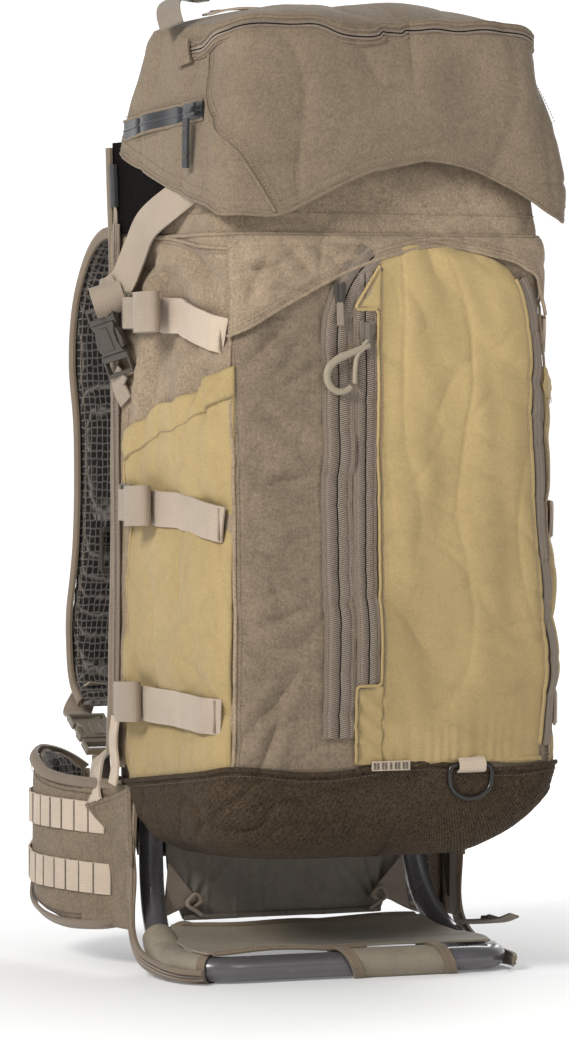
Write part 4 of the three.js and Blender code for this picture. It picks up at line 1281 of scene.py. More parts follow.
def lid_side_pocket():
    lo, hi = box("lid_pocket_zip")
    ends = [(hi[1] - 4 * MM, lo[2] + 8 * MM), (lo[1] + 2 * MM, hi[2] - 8 * MM)]
    middle = ((ends[0][0] + ends[1][0]) / 2, (ends[0][1] + ends[1][1]) / 2 + 1 * MM)
    path, out = on_side(LEFT, [ends[0], middle, ends[1]], 110, 1.6 * MM, LID)
    obj = strap("lid_side_zip", path, out, 13 * MM, 1.6 * MM, M["black_zip"], "lid", "black_zip")
    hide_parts("lid_pocket_zip")
    across = np.cross(tangents(path), out)
    cord_mesh("lid_side_zip_line", path + out * 1.0 * MM, 0.8 * MM, M["black_zip"], "lid", "black_zip", out=out)
    for side in (-1, 1):
        cord_mesh(f"lid_side_zip_piping_{side + 1}", path + across * side * 7.6 * MM + out * 0.4 * MM, 1.3 * MM,
                  M["lid"], "lid", "ripstop", out=out)
        stitches(f"lid_side_zip_thread_{side + 1}", (path, out), side * 11.0 * MM, body="lid")
    lo_s, hi_s = box("lid_pocket_slider")
    centre = (lo_s + hi_s) / 2
    obj = slider("lid_side_slider", (lo_s[0] + 2.5 * MM, centre[1], centre[2]), (0, -1, 0.07), (-1, 0, 0),
                 (10 * MM, 19 * MM, 4.4 * MM), M["black_zip"], "lid_pocket_slider", "black_zip")
    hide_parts("lid_pocket_slider")
    lo_p, hi_p = box("lid_pocket_puller")
    mid = (lo_p + hi_p) / 2
    path = [(mid[0], mid[1], hi_p[2]), (mid[0] - 0.4 * MM, mid[1], hi_p[2] - 14 * MM),
            (mid[0] - 0.2 * MM, mid[1] + 0.6 * MM, mid[2]), (mid[0], mid[1] + 1.5 * MM, lo_p[2] + 1 * MM)]
    line = smooth_path(path, 40)
    obj = strap("lid_side_puller", line, (-1, 0, 0), (hi_p[1] - lo_p[1]) * 0.9, 2.4 * MM, M["black_web"],
                "lid_pocket_puller", "black_zip")
    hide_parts("lid_pocket_puller")
    for k, z in enumerate((0.25, 0.8)):
        zz = lo_p[2] + (hi_p[2] - lo_p[2]) * z
        bar = np.array([(mid[0] - 1.6 * MM, mid[1] - 4 * MM, zz), (mid[0] - 1.6 * MM, mid[1] + 4 * MM, zz)])
        dashes(f"lid_side_puller_tack_{k}", bar, (-1, 0, 0), M["thread_dark"], "lid_pocket_puller", pitch=1.0 * MM,
               length=0.8 * MM, width=2.5 * MM)


def bar_tack(name, centre, across, out, width, body="pack", material=None):
    """Dense band of stitches across a strap."""
    a = np.array(across, float) / np.linalg.norm(across)
    c = np.array(centre, float)
    ends = np.array([c - a * width / 2, c + a * width / 2])
    return dashes(name, ends, out, material or M["thread"], body, pitch=0.95 * MM, length=0.7 * MM, width=2.6 * MM,
                  lift=0.35 * MM, height=0.9 * MM)


def ladder_lock(name, centre, along, out, width, length, body="pack", material=None, thick=3.6 * MM):
    """Ladder lock: a frame with two webbing slots, a ribbed middle bar and a raised lip."""
    t, o = (np.array(v, float) / np.linalg.norm(v) for v in (along, out))
    a = np.cross(t, o)
    w, l = width / 2, length / 2
    bars = []
    wall = width * 0.07
    for x in (-w + wall / 2, w - wall / 2):
        bars.append(((x, 0), (wall, length * 0.96), thick))
    for y, size in ((-l + 2 * MM, 4 * MM), (0.5 * MM, 4.6 * MM), (l - 2.2 * MM, 4.4 * MM)):
        bars.append(((0, y), (width - wall, size), thick * (1.35 if y > 3 * MM else 1.0)))
    for k in range(3):
        bars.append(((0, -1.2 * MM + 1.6 * MM * k), (width * 0.8, 0.7 * MM), thick * 1.25))
    verts, faces = [], []
    for (x, y), (sx, sy), h in bars:
        base = len(verts)
        for dz in (-thick / 2, h - thick / 2):
            for dx, dy in ((-1, -1), (1, -1), (1, 1), (-1, 1)):
                verts.append(np.array(centre) + a * (x + dx * sx / 2) + t * (y + dy * sy / 2) + o * dz)
        faces += bricks(1, base)
    return solid_mesh(name, verts, orient(faces, a, t, o), material or M["plastic"], body, "plastic", bevel=0.7 * MM)


def side_release(name, centre, along, out, width, length, body="pack", material=None, thick=7 * MM):
    """Side-release buckle, fastened: waisted body, side prongs in their windows, webbing bars at both ends."""
    t, o = (np.array(v, float) / np.linalg.norm(v) for v in (along, out))
    a = np.cross(t, o)
    w, l = width / 2, length / 2
    parts = []
    shell = [(-0.80, -0.30), (-0.92, -0.38), (0.92, -0.38), (0.80, -0.30), (0.66, -0.05), (0.66, 0.22), (0.84, 0.42),
             (0.84, 0.52), (-0.84, 0.52), (-0.84, 0.42), (-0.66, 0.22), (-0.66, -0.05)]
    parts.append(([(x * w, y * l) for x, y in shell], -0.5, 0.5))
    ridge = [(-0.34, -0.26), (0.34, -0.26), (0.26, 0.40), (-0.26, 0.40)]
    parts.append(([(x * w, y * l) for x, y in ridge], 0.4, 0.62))
    for s in (-1, 1):
        prong = [(0.70, -0.30), (0.98, -0.26), (1.02, 0.02), (0.90, 0.26), (0.70, 0.34)]
        prong = [(s * x * w, y * l) for x, y in prong]
        parts.append((prong if s > 0 else prong[::-1], -0.36, 0.36))
    bars = []
    for y in (-0.95, 0.95):
        bars.append(((0, y * l), (2 * w, 0.12 * l)))
        for s in (-1, 1):
            bars.append(((s * w * 0.93, y * l * 0.72), (0.14 * w * 2 * 0.5, 0.50 * l)))
    bars.append(((0, -0.48 * l), (2 * w * 0.94, 0.20 * l)))
    bars.append(((0, 0.60 * l), (2 * w * 0.94, 0.18 * l)))
    for (x, y), (sx, sy) in bars:
        parts.append(([(x - sx / 2, y - sy / 2), (x + sx / 2, y - sy / 2), (x + sx / 2, y + sy / 2),
                       (x - sx / 2, y + sy / 2)], -0.34, 0.34))
    verts, faces = [], []
    for outline, low, high in parts:
        v, f = prism(outline, 1.0)
        base = len(verts)
        verts += [np.array(centre) + a * x + t * y + o * (thick * (low + (high - low) * z)) for x, y, z in v]
        faces += [tuple(base + i for i in face) for face in f]
    return solid_mesh(name, verts, orient(faces, a, t, o), material or M["plastic_dark"], body, "plastic",
                      bevel=0.8 * MM)


def lid_top():
    lo, hi = box("lid_top_webbing")
    x = np.linspace(lo[0], hi[0], 60)
    y = np.full(60, (lo[1] + hi[1]) / 2) - 4 * MM
    z = crown_z(x, y) + 1.6 * MM + 1.4 * MM * np.abs(np.sin(np.pi * (x - lo[0]) / 0.047))
    path = np.stack([x, y, np.minimum(z, hi[2] + 3 * MM)], axis=1)
    obj = strap("lid_webbing", path, UP, 20 * MM, 1.8 * MM, M["web"], "lid")
    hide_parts("lid_top_webbing")
    for k, at in enumerate((2, 15, 28, 41, 56)):
        bar_tack(f"lid_webbing_tack_{k}", path[at] + UP * 1.0 * MM, (0, 1, 0), UP, 18 * MM, "lid")
    lo_b, hi_b = box("lid_top_buckle")
    c = (lo_b + hi_b) / 2
    obj = ladder_lock("lid_lock", (c[0], c[1], c[2] + 1 * MM), (-1, 0, 0.12), (0.12, 0, 1), 26 * MM, 26 * MM, "lid")
    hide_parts("lid_top_buckle")
    tail = [(c[0] - 10 * MM, c[1] - 2 * MM, c[2] + 1 * MM), (c[0] - 24 * MM, c[1] - 16 * MM, c[2] - 5 * MM),
            (c[0] - 34 * MM, c[1] - 36 * MM, c[2] - 14 * MM), (c[0] - 40 * MM, c[1] - 56 * MM, c[2] - 26 * MM)]
    path = smooth_path(tail, 30)
    out = np.tile(np.array((-0.55, -0.25, 0.8)), (30, 1))
    strap("lid_lock_tail", path, out, 20 * MM, 1.8 * MM, M["web_dark"], "lid")


lid_shell()
lid_seams()
lid_zip()
lid_side_pocket()
lid_top()


# ---------- compression straps, rolls and buckles ----------
def webbing_roll(name, centre, radius, width, axis, body="pack", turns=2.6, start=0.0, material=None, core=4.0 * MM,
                 flat=1.0):
    """Webbing wound up on itself, as a spiral about an axis."""
    k = np.array(axis, float) / np.linalg.norm(axis)
    e1 = np.cross(k, (1, 0, 0)) if abs(k[0]) < 0.9 else np.cross(k, (0, 1, 0))
    e1 /= np.linalg.norm(e1)
    e2 = np.cross(k, e1)
    count = int(26 * turns) + 1
    turn = np.linspace(0, 2 * math.pi * turns, count)
    r = core + (radius - core) * turn / turn[-1]
    radial = np.cos(turn + start)[:, None] * e1 + np.sin(turn + start)[:, None] * e2
    path = np.array(centre) + radial * r[:, None] * np.array((flat, 1, 1))
    return strap(name, path, radial / np.array((flat, 1, 1)), width, 1.7 * MM, material or M["web"], body)


M["roll"] = web("rolled webbing", shade(WEB, 0.62))
ROLL_Y = {"upper": 0.092, "middle": 0.074, "lower": 0.054}
# how far the front end of each strap lies over the bag, in millimetres
STRAP_LIFT = {"upper": 2.4, "middle": 4.2, "lower": 3.6}


def compression():
    for s, side in SIDES:
        for row, (top_r, low_r, top_f, low_f, rear) in STRAP_FALL.items():
            tag = f"{row}_{side}"
            z_front, z_rear = (top_f + low_f) / 2, (top_r + low_r) / 2
            shares, ys = wrap(s, Y0 - rear + 0.006, 70, 0.1442)
            shares, ys = shares[::-1], ys[::-1]
            even = np.linspace(0, 1, 70)
            z = np.interp(even, (0, 1), (z_front, z_rear))
            lift = (STRAP_LIFT[row] + 4.2 * step(even, 0.0, 0.16)) * MM
            path, out = BAG.around(shares, z, lift)
            out[:8] = out[8]
            obj = strap("strap_" + tag, path, out, 28 * MM, 1.8 * MM, M["web" if row == "upper" else "web_mid"],
                        crown=0.6 * MM)
            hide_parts(f"{row}_strap_{side}")
            bar_tack("strap_tack_" + tag, path[3] + out[3] * 1.2 * MM, UP, out[3], 26 * MM)
            roll_y = Y0 - ROLL_Y[row]
            x_in = s * 0.1515
            z_roll = z_rear + 0.5 * MM
            lock_lo, lock_hi = box(f"{row}_lock_{side}")
            lock = (lock_lo + lock_hi) / 2
            obj = ladder_lock("lock_" + tag, (lock[0], lock[1], lock[2]), (0, 1, 0.05), (s, 0, 0), 30 * MM,
                              lock_hi[1] - lock_lo[1], material=M["plastic"])
            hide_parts(f"{row}_lock_{side}")
            end = path[-1]
            over = smooth_path([end, end + np.array((s * 3 * MM, 9 * MM, 0)),
                                (lock[0] + s * 4 * MM, lock[1] - 8 * MM, z_roll),
                                (lock[0] + s * 4.5 * MM, lock[1] + 4 * MM, z_roll)], 24)
            strap("strap_over_" + tag, over, (s, 0, 0), 25 * MM, 1.8 * MM, M["roll"])
            webbing_roll("roll_" + tag, (x_in + s * 10.0 * MM, roll_y, z_roll), 17.5 * MM, 32 * MM, (0, 0.04, 1),
                         turns=3.4, start=1.2 if s < 0 else 2.0, flat=0.5, material=M["roll"])
            anchor = smooth_path([(lock[0], lock_hi[1] - 4 * MM, z_rear), (s * 0.150, lock_hi[1] + 8 * MM, z_rear),
                                  (s * 0.1475, Y0 - 0.012, z_rear)], 24)
            strap("strap_anchor_" + tag, anchor, (s, 0, 0), 25 * MM, 1.8 * MM, M["roll"])
        hi = box("lower_lock_" + side)[1]
        tail = smooth_path([(s * 0.1565, hi[1] - 6 * MM, 0.205), (s * 0.158, hi[1] - 4 * MM, 0.185),
                            (s * 0.1565, hi[1] - 5 * MM, 0.165), (s * 0.158, hi[1] - 3 * MM, 0.150)], 30)
        strap("strap_tail_" + side, tail, (s, 0, 0), 14 * MM, 1.6 * MM, M["web"])


def lid_straps():
    for s, side in SIDES:
        path = smooth_path([(s * 0.1415, Y0 - 0.134, 0.628), (s * 0.1475, Y0 - 0.112, 0.617),
                            (s * 0.1535, Y0 - 0.076, 0.600), (s * 0.1530, Y0 - 0.050, 0.578),
                            (s * 0.1550, Y0 - 0.030, 0.555), (s * 0.1590, Y0 - 0.014, 0.546)], 60)
        face = np.tile(np.array((s * 0.92, -0.38, 0.0)), (60, 1))
        obj = strap("lid_strap_web_" + side, path, face, 27 * MM, 1.8 * MM, M["strap_tan"], body=None, crown=0.8 * MM)
        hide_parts("lid_strap_" + side)
        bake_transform(obj)
        c = np.array((s * 0.1590, Y0 - 0.016, 0.5080))
        tilt = np.array((s * 0.34, 0.12, 1.0)) / np.linalg.norm((0.34, 0.12, 1.0))
        obj = side_release("lid_strap_clip_" + side, c, tilt, (s, -0.5, -0.28), 28 * MM, 58 * MM, thick=8 * MM,
                           material=M["plastic_dark"])
        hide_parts("lid_strap_buckle_" + side)
        half = 29 * MM
        top, foot = c + tilt * (half - 2 * MM), c - tilt * (half - 2 * MM)
        knot = top + np.array((s * -5 * MM, -6 * MM, 9 * MM))
        webbing_roll("lid_strap_knot_" + side, knot, 13 * MM, 26 * MM, (s * -0.85, -0.40, 0.30), turns=2.6,
                     material=M["roll"], core=3 * MM)
        link = smooth_path([tuple(path[-1]), tuple(knot + np.array((0, 2 * MM, 9 * MM))), tuple(knot),
                            tuple(top)], 24)
        strap("lid_strap_link_" + side, link, (s, -0.3, 0), 22 * MM, 1.8 * MM, M["roll"])
        low = smooth_path([tuple(foot), (s * 0.1505, Y0 - 0.012, foot[2] - 10 * MM),
                           (s * 0.1475, Y0 - 0.020, foot[2] - 24 * MM)], 20)
        strap("lid_strap_base_" + side, low, (s, -0.2, 0), 16 * MM, 1.8 * MM, M["roll"])


compression()
lid_straps()


# ---------- frame and shelf ----------
def D(x, y, z):
    """Point given in millimetres, with y counted from the plane of the uprights."""
    return np.array((x * MM, Y0 + y * MM, z * MM))


TUBE_R = 10 * MM


def bezier(a, b, c, d, count):
    t = np.linspace(0, 1, count)[:, None]
    return (1 - t)**3 * a + 3 * (1 - t)**2 * t * b + 3 * (1 - t) * t**2 * c + t**3 * d


def tube_path():
    """Centre line of the bent tube, from the top of the left upright to the top of the right one."""
    bend = bezier(D(-117, 0, 118), D(-118, 0, 55), D(-128, -30, 10), D(-137, -100, 10), 60)
    corner = bezier(D(-137, -100, 10), D(-137, -126, 10), D(-123, -140, 10), D(-97, -140, 10), 30)
    up = np.linspace(D(-117, 0, 609), D(-117, 0, 118), 60)
    left = np.concatenate([up[:-1], bend[:-1], corner])
    right = left[::-1] * np.array((-1, 1, 1))
    middle = np.linspace(left[-1], right[0], 30)[1:-1]
    return np.concatenate([left, middle, right])


TUBE = tube_path()


def frame_pieces():
    obj = cord_mesh("tube", TUBE, TUBE_R, M["tube"], "pack", "tube", sides=28)
    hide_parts("frame_tube")
    for s, name in SIDES:
        top = D(s * 117, 0, 609)
        rings = [(0.0, 10.2), (3.0, 10.2), (5.0, 9.4), (6.0, 7.5), (6.3, 3.0)]
        turn = np.linspace(0, 2 * math.pi, 28, endpoint=False)
        ring = np.stack([top + np.stack([np.cos(turn) * r * MM, np.sin(turn) * r * MM, np.full(28, (h - 4) * MM)], 1)
                         for h, r in rings])
        closed_strip("tube_plug_" + name, ring, M["plastic_dark"], "pack", "plastic", smooth=True)
    for name, z in (("upper", 560), ("lower", 190)):
        ends = np.linspace(D(-107, 0, z), D(107, 0, z), 12)
        obj = cord_mesh(name + "_bar", ends, 8 * MM, M["tube"], "pack", "tube", sides=24)
        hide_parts(name + "_crossbar")
        for s, side in SIDES:
            collar = np.linspace(D(s * 99, 0, z), D(s * 107.5, 0, z), 6)
            cord_mesh(f"{name}_bar_collar_{side}", collar, 9.6 * MM, M["plastic_dark"], "pack", "plastic", sides=24)


def back_sheet():
    lo, hi = box("frame_sheet")
    y = (lo[1] + hi[1]) / 2
    u, v = np.meshgrid(np.linspace(-1, 1, 60), np.linspace(0, 1, 110))
    half = hi[0] * (1 - 0.10 * np.clip(v - 0.86, 0, 1) / 0.14 - 0.05 * np.clip(0.06 - v, 0, 1) / 0.06)
    g = np.stack([u * half, y + 0 * u, lo[2] + (hi[2] - lo[2]) * v], axis=-1)
    g[..., 1] += 0.6 * MM * field(g, 0.12, 61) + 0.5 * MM
    obj = sheet_mesh("back_sheet", g, M["foam"], "pack", "sheet", thick=2.0 * MM)
    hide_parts("frame_sheet")
    edge = np.concatenate([g[0], g[1:, -1], g[-1, -2::-1], g[-2::-1, 0]])
    cord_mesh("back_sheet_binding", edge, 2.4 * MM, M["binding"], "pack", "webbing", out=(0, 1, 0), squash=0.8)


def load_panel():
    lo, hi = box("load_panel")
    u, v = np.meshgrid(np.linspace(-1, 1, 120), np.linspace(0, 1, 80))
    low_edge = lo[2] - 9 * MM
    z = low_edge + (hi[2] - low_edge) * v
    half = 0.104 - 0.014 * np.clip(1 - v / 0.32, 0, 1) ** 1.5
    x = u * half
    # folds run from the lower corners up and across to the sides
    fold = np.zeros_like(x)
    for s in (-1, 1):
        dx, dz = (x - s * 0.088) * -s, z - (low_edge + 4 * MM)
        angle = np.arctan2(dz, dx)
        reach = np.hypot(dx, dz)
        fold += 2.6 * MM * np.sin(angle * 15) * np.exp(-reach / 0.07) * step(reach, 0.0, 0.02) * step(angle, 0.5, 1.1)
    p = np.stack([x, x * 0, z], axis=-1)
    fold += 1.0 * MM * field(p, 0.09, 62, stretch=(1.6, 1, 0.4)) - 1.6 * MM * crease(p, 0.08, 63, (1.5, 1, 0.35))
    g = np.stack([x, np.full_like(x, (lo[1] + hi[1]) / 2 - 1.0 * MM) + fold, z], axis=-1)
    obj = sheet_mesh("load_panel_cloth", g, M["panel"], "pack", "panel", thick=1.4 * MM)
    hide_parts("load_panel")
    hem = g[0] + np.array((0, -1.2 * MM, 1.5 * MM))
    cord_mesh("load_panel_hem", hem, 2.4 * MM, M["panel"], "pack", "panel", out=(0, -1, 0), squash=0.6)
    for s, name in SIDES:
        tri = [D(s * 106, -9, 84), D(s * 78, -6, 52), D(s * 112, -12, 40)]
        rows = np.stack([np.linspace(tri[0], tri[1], 14), np.linspace(tri[0], tri[2], 14)])
        web = np.stack([rows[0] + (rows[1] - rows[0]) * t for t in np.linspace(0, 1, 14)], axis=0)
        sheet_mesh("corner_web_" + name, web, M["web_dark"], "pack", "webbing", thick=1.6 * MM)
        knot = smooth_path([D(s * 84, -8, 46), D(s * 78, -12, 52), D(s * 84, -14, 58), D(s * 90, -12, 50),
                            D(s * 82, -11, 44), D(s * 76, -10, 40)], 44)
        cord_mesh("corner_tie_" + name, knot, 2.2 * MM, M["web_dark"], "pack", "webbing", squash=0.7)
    loop = smooth_path([D(-66, -5, 112), D(-66, -9, 104), D(-40, -9, 101), D(-38, -5, 103)], 24)
    strap("panel_loop", loop, (0, -0.4, 1), 7 * MM, 1.4 * MM, M["panel"], "pack", "panel")


def sling():
    rows = [(0.0, -31, 33.5, 113), (0.16, -44, 28, 119), (0.36, -62, 25.0, 124), (0.66, -92, 24.2, 130),
            (0.9, -122, 24.0, 133), (1.0, -137, 23.4, 130)]
    u, v = np.meshgrid(np.linspace(-1, 1, 110), np.linspace(0, 1, 60))
    y, z, w = (curve_interp(v, rows, k) for k in (1, 2, 3))
    right = np.where(u > 0, 0.94 + 0.06 * (1 - v), 1.0)
    x = u * w * right
    p = np.stack([x, y, z], axis=-1) * MM
    z = z * MM + 0.7 * MM * field(p, 0.12, 64) - 1.0 * MM * crease(p, 0.12, 65, (0.5, 1.2, 1))
    z = z - 1.5 * MM * np.sin(np.pi * v) * (1 - u**2)
    g = np.stack([x * MM, Y0 + y * MM, z], axis=-1)
    obj = sheet_mesh("sling_cloth", g, M["sling"], "pack", "sling", thick=1.6 * MM)
    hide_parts("shelf_sling")
    back = smooth_path([D(-127, -36, 24)] + [tuple(q + np.array((0, 0, 1.2 * MM))) for q in g[0, 4:-1:6]], 120)
    strap("sling_far_binding", back, (0, -0.35, 1), 7 * MM, 1.8 * MM, M["binding"], crown=0.8 * MM)
    front = g[-1] + np.array((0, -1 * MM, 0.8 * MM))
    strap("sling_front_binding", front[2:60], (0, -0.6, 1), 5 * MM, 1.8 * MM, M["binding"], crown=0.8 * MM)
    dashes("sling_front_thread", front[2:60] + np.array((0, -1 * MM, 1.8 * MM)), (0, -0.6, 1))
    fold = np.stack([g[44, k] + np.array((0, 0, 1.0 * MM)) for k in range(58, 108)])
    cord_mesh("sling_fold", fold, 0.9 * MM, M["sling"], "pack", "sling", out=(0, 0, 1))
    # tab that passes over the front bar and under it
    turn = np.linspace(math.radians(62), math.radians(292), 40)
    share = np.linspace(0, 1, 40)
    left_x = -18 + 24 * share
    right_x = 66 + 22 * share
    cols = []
    radius = 12.2 * MM
    for k in range(40):
        c, s2 = math.cos(turn[k]), math.sin(turn[k])
        line = [D(lx, -140, 10) + np.array((0, c * radius, s2 * radius)) for lx in
                np.linspace(left_x[k], right_x[k], 30)]
        cols.append(line)
    tab = np.array(cols)
    tab = np.concatenate([np.linspace(tab[0] + np.array((0, 10 * MM, -0.5 * MM)), tab[0], 4)[:-1], tab])
    sheet_mesh("sling_tab", tab, M["sling"], "pack", "sling", thick=1.6 * MM, flip=True)
    for k, edge in ((0, tab[:, 0]), (1, tab[:, -1])):
        middle = D(0, -140, 10)
        out = edge - np.array((0, middle[1], middle[2]))
        out[:, 0] = 0
        out = unit(out)
        strap(f"sling_tab_binding_{k}", edge + out * 0.9 * MM, out, 9 * MM, 1.6 * MM, M["binding"])
        for side in (-1, 1):
            dashes(f"sling_tab_thread_{k}_{side + 1}", edge + out * 1.7 * MM + np.array((side * 3 * MM, 0, 0)), out)
    sling_sleeve()


def sling_sleeve():
    """Sleeve of the sling round the left rail and corner of the tube, with its bound end."""
    start = int(np.argmin(np.abs(TUBE[:130, 1] - (Y0 - 0.040)) + (TUBE[:130, 2] > 0.05)))
    stop = int(np.argmin(np.linalg.norm(TUBE[:200] - D(-128, -137, 10), axis=1)))
    line = smooth_path(TUBE[start:stop + 1:4], 90)
    t = tangents(line)
    side = unit(np.cross(t, UP))
    up = np.cross(side, t)
    turn = np.linspace(0, 2 * math.pi, 36, endpoint=False)
    ring = (line[:, None] + side[:, None] * (np.cos(turn) * 12.3 * MM)[None, :, None]
            + up[:, None] * (np.sin(turn) * 12.0 * MM)[None, :, None])
    push = 0.9 * MM * field(ring, 0.05, 66) - 1.2 * MM * crease(ring, 0.05, 67)
    ring = ring + (ring - line[:, None]) / (12.2 * MM) * push[..., None]
    ring[..., 2] = np.maximum(ring[..., 2], -1.0 * MM)
    sheet_mesh("sling_sleeve_left", ring, M["sling"], "pack", "sling", closed=True, thick=1.2 * MM)
    end = ring[-1]
    loop = close_ring(end)
    outs = unit(loop - line[-1])
    strap("sleeve_binding_left", loop + outs * 0.8 * MM, outs, 7 * MM, 1.6 * MM, M["binding"])


def curtains():
    for s, name in SIDES:
        places = [(146.5, -48, 164), (146.5, -38, 135), (146.5, -33, 100), (146.5, -31, 62), (147.5, -35, 34),
                  (149.5, -54, 18), (150, -90, 11.5), (148, -126, 9), (138, -149, 9)]
        path = smooth_path([D(s * x, y, z) for x, y, z in places], 130)
        t = tangents(path)
        out = np.array((s, 0.0, 0.0)) + 0 * path
        out[-30:] = np.stack([np.linspace(s, s * 0.4, 30), np.linspace(0, -0.9, 30), np.zeros(30)], axis=1)
        out = unit(out)
        across = np.cross(t, out)
        across = across * np.sign(across[20, 1])
        width = 16 * MM * np.linspace(1.0, 0.55, 130)
        edge_cloth = np.stack([path + across * (width * k)[:, None] for k in np.linspace(0, 1, 8)], axis=1)
        obj = sheet_mesh("curtain_" + name, edge_cloth, M["tape"], "pack", "zip", thick=1.4 * MM, flip=(s > 0))
        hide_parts("side_curtain_" + name)
        strap("curtain_binding_" + name, path + out * 0.7 * MM, out, 4.2 * MM, 2.6 * MM, M["binding"], crown=0.6 * MM)
        line = path + across * 5.6 * MM + out * 1.0 * MM
        coil("curtain_coil_" + name, (line, out), 2.3 * MM)
        dashes("curtain_thread_" + name, path + out * 2.2 * MM, out)
        # cloth of the side, behind the zip
        y_rear = np.linspace(-4, -14, 60)
        rows = path[:60] + across[:60] * width[:60, None]
        inner = np.stack([rows + (np.stack([np.full(60, s * 0.1455), Y0 + y_rear * MM, rows[:, 2]], 1) - rows) * k
                          for k in np.linspace(0, 1, 10)], axis=1)
        inner[..., 0] += s * 0.8 * MM * field(inner, 0.05, 68)
        sheet_mesh("side_cloth_" + name, inner, M["boot"], "pack", "twill", thick=1.4 * MM, flip=(s > 0))
    # narrow strap with a slide buckle at the right end of the shelf
    line = smooth_path([D(137, -52, 30), D(143, -66, 31), D(148, -84, 33), D(150, -106, 36), D(151, -124, 41)], 40)
    strap("shelf_strap", line, (0.35, 0.2, 1), 9 * MM, 1.6 * MM, M["web_dark"])
    ladder_lock("shelf_strap_lock", line[20] + UP * 1.4 * MM, (0.1, -1, 0.1), (0.3, 0.1, 1), 14 * MM, 13 * MM,
                thick=2.6 * MM, material=M["plastic_dark"])


def back_wall():
    """Cloth wall behind the bag, from side to side, that the lid's rear edge and the side zips join."""
    u, v = np.meshgrid(np.linspace(-1, 1, 90), np.linspace(0, 1, 120))
    z = 0.172 + (0.664 - 0.172) * v
    half = 0.1475 - 0.004 * np.sin(np.pi * v)
    g = np.stack([u * half, Y0 + 10.8 * MM + 0 * u, z], axis=-1)
    g[..., 1] += 0.5 * MM * field(g, 0.10, 69)
    sheet_mesh("back_wall", g, M["foam"], "pack", "mesh", thick=1.4 * MM)
    for s, name in SIDES:
        edge = g[:, 0 if s < 0 else -1]
        strap("back_wall_binding_" + name, edge + np.array((s * 1.5 * MM, 0, 0)), (s, 0, 0), 9 * MM, 2.2 * MM,
              M["binding"], crown=1.2 * MM)
        # cloth that closes the gap between the bag and the wall, over the upright
        w, q = np.meshgrid(np.linspace(0, 1, 36), np.linspace(0, 1, 140))
        zz = 0.163 + (0.598 - 0.163) * q
        near, _ = BAG.side(s, np.full_like(w, Y0 - 0.020), zz, -0.6 * MM)
        far = np.stack([np.full_like(w, s * 0.1475), np.full_like(w, Y0 + 0.006), zz], axis=-1)
        side_panel = near + (far - near) * w[..., None]
        side_panel[..., 0] += s * 0.8 * MM * np.sin(np.pi * w)
        side_panel[..., 0] += s * (0.5 * MM * field(side_panel, 0.08, 72) - 0.8 * MM * crease(side_panel, 0.07, 73))
        sheet_mesh("side_gusset_" + name, side_panel, M["side"], "pack", "ripstop", thick=1.4 * MM, flip=(s > 0))


def lid_gap():
    """Near-black sheet of painted shade that closes the bag between its mouth and the wall, under the rear of the
    lid.
    """
    for s, name in SIDES:
        w, q = np.meshgrid(np.linspace(0, 1, 40), np.linspace(0, 1, 30))
        zz = 0.594 + (0.668 - 0.594) * q
        near_y = Y0 - 0.135 + 0.060 * (1 - q)
        y = near_y + (Y0 + 0.010 - near_y) * w
        lining = np.stack([np.full_like(w, s * 0.1455), y, zz], axis=-1)
        # painted shade: a near-black sheet where the gap behind the bag's mouth lies in shadow
        sheet_mesh("mouth_shade_sheet_" + name, lining, M["dark"], "pack", "ripstop", thick=1.0 * MM, flip=(s > 0))


frame_pieces()
back_wall()
lid_gap()
back_sheet()
load_panel()
sling()
curtains()


# ---------- base hardware and front zip pulls ----------
def base_hardware():
    lo, hi = box("d_ring")
    y, cx = (lo[1] + hi[1]) / 2, (lo[0] + hi[0]) / 2
    half, r = (hi[0] - lo[0]) / 2 - 2 * MM, 2.1 * MM
    top = hi[2] - 2 * MM
    points = [(cx, y, top), (cx + half - 4 * MM, y, top), (cx + half, y, top - 4 * MM),
              (cx + half, y, top - 12 * MM)]
    for k in range(1, 8):
        turn = math.pi * k / 8
        drop = (top - 12 * MM - lo[2] - 2 * MM) * math.sin(turn)
        points.append((cx + half * math.cos(turn), y, top - 12 * MM - drop))
    points += [(cx - half, y, top - 12 * MM), (cx - half, y, top - 4 * MM), (cx - half + 4 * MM, y, top)]
    loop = smooth_path(points + [points[0]], 120)
    obj = cord_mesh("ring", loop, r, M["steel"], "d_ring", "steel", sides=16, out=(0, 1, 0))
    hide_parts("d_ring")
    t_lo, t_hi = box("d_ring_tab")
    w = (t_hi[0] - t_lo[0]) * 0.92
    wrap = [(cx, t_hi[1] + 1 * MM, t_lo[2] - 4 * MM), (cx, y - 0.5 * MM + 4.6 * MM, top - 6 * MM),
            (cx, y - 3.2 * MM, top - 4 * MM), (cx, y - 4.2 * MM, top + 1 * MM), (cx, y - 2.0 * MM, top + 4.6 * MM),
            (cx, y + 3.0 * MM, top + 6 * MM)]
    line = smooth_path(wrap, 40)
    outs = np.cross(tangents(line), (1, 0, 0))
    outs *= np.sign(-outs[20, 1])
    obj = strap("ring_tab", line, outs, w, 1.8 * MM, M["web"])
    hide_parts("d_ring_tab")
    bar = BAG.front(np.linspace(-0.024, 0.008, 24), np.full(24, 0.1735), 7.0 * MM)
    strap("ribbed_bar", bar[0], bar[1], 7.5 * MM, 3.0 * MM, M["web"])
    for k in range(9):
        at = int(1 + k * 2.6)
        bar_tack(f"ribbed_bar_tack_{k}", bar[0][at] + bar[1][at] * 1.2 * MM, UP, bar[1][at], 6 * MM,
                 material=M["thread_dark"])


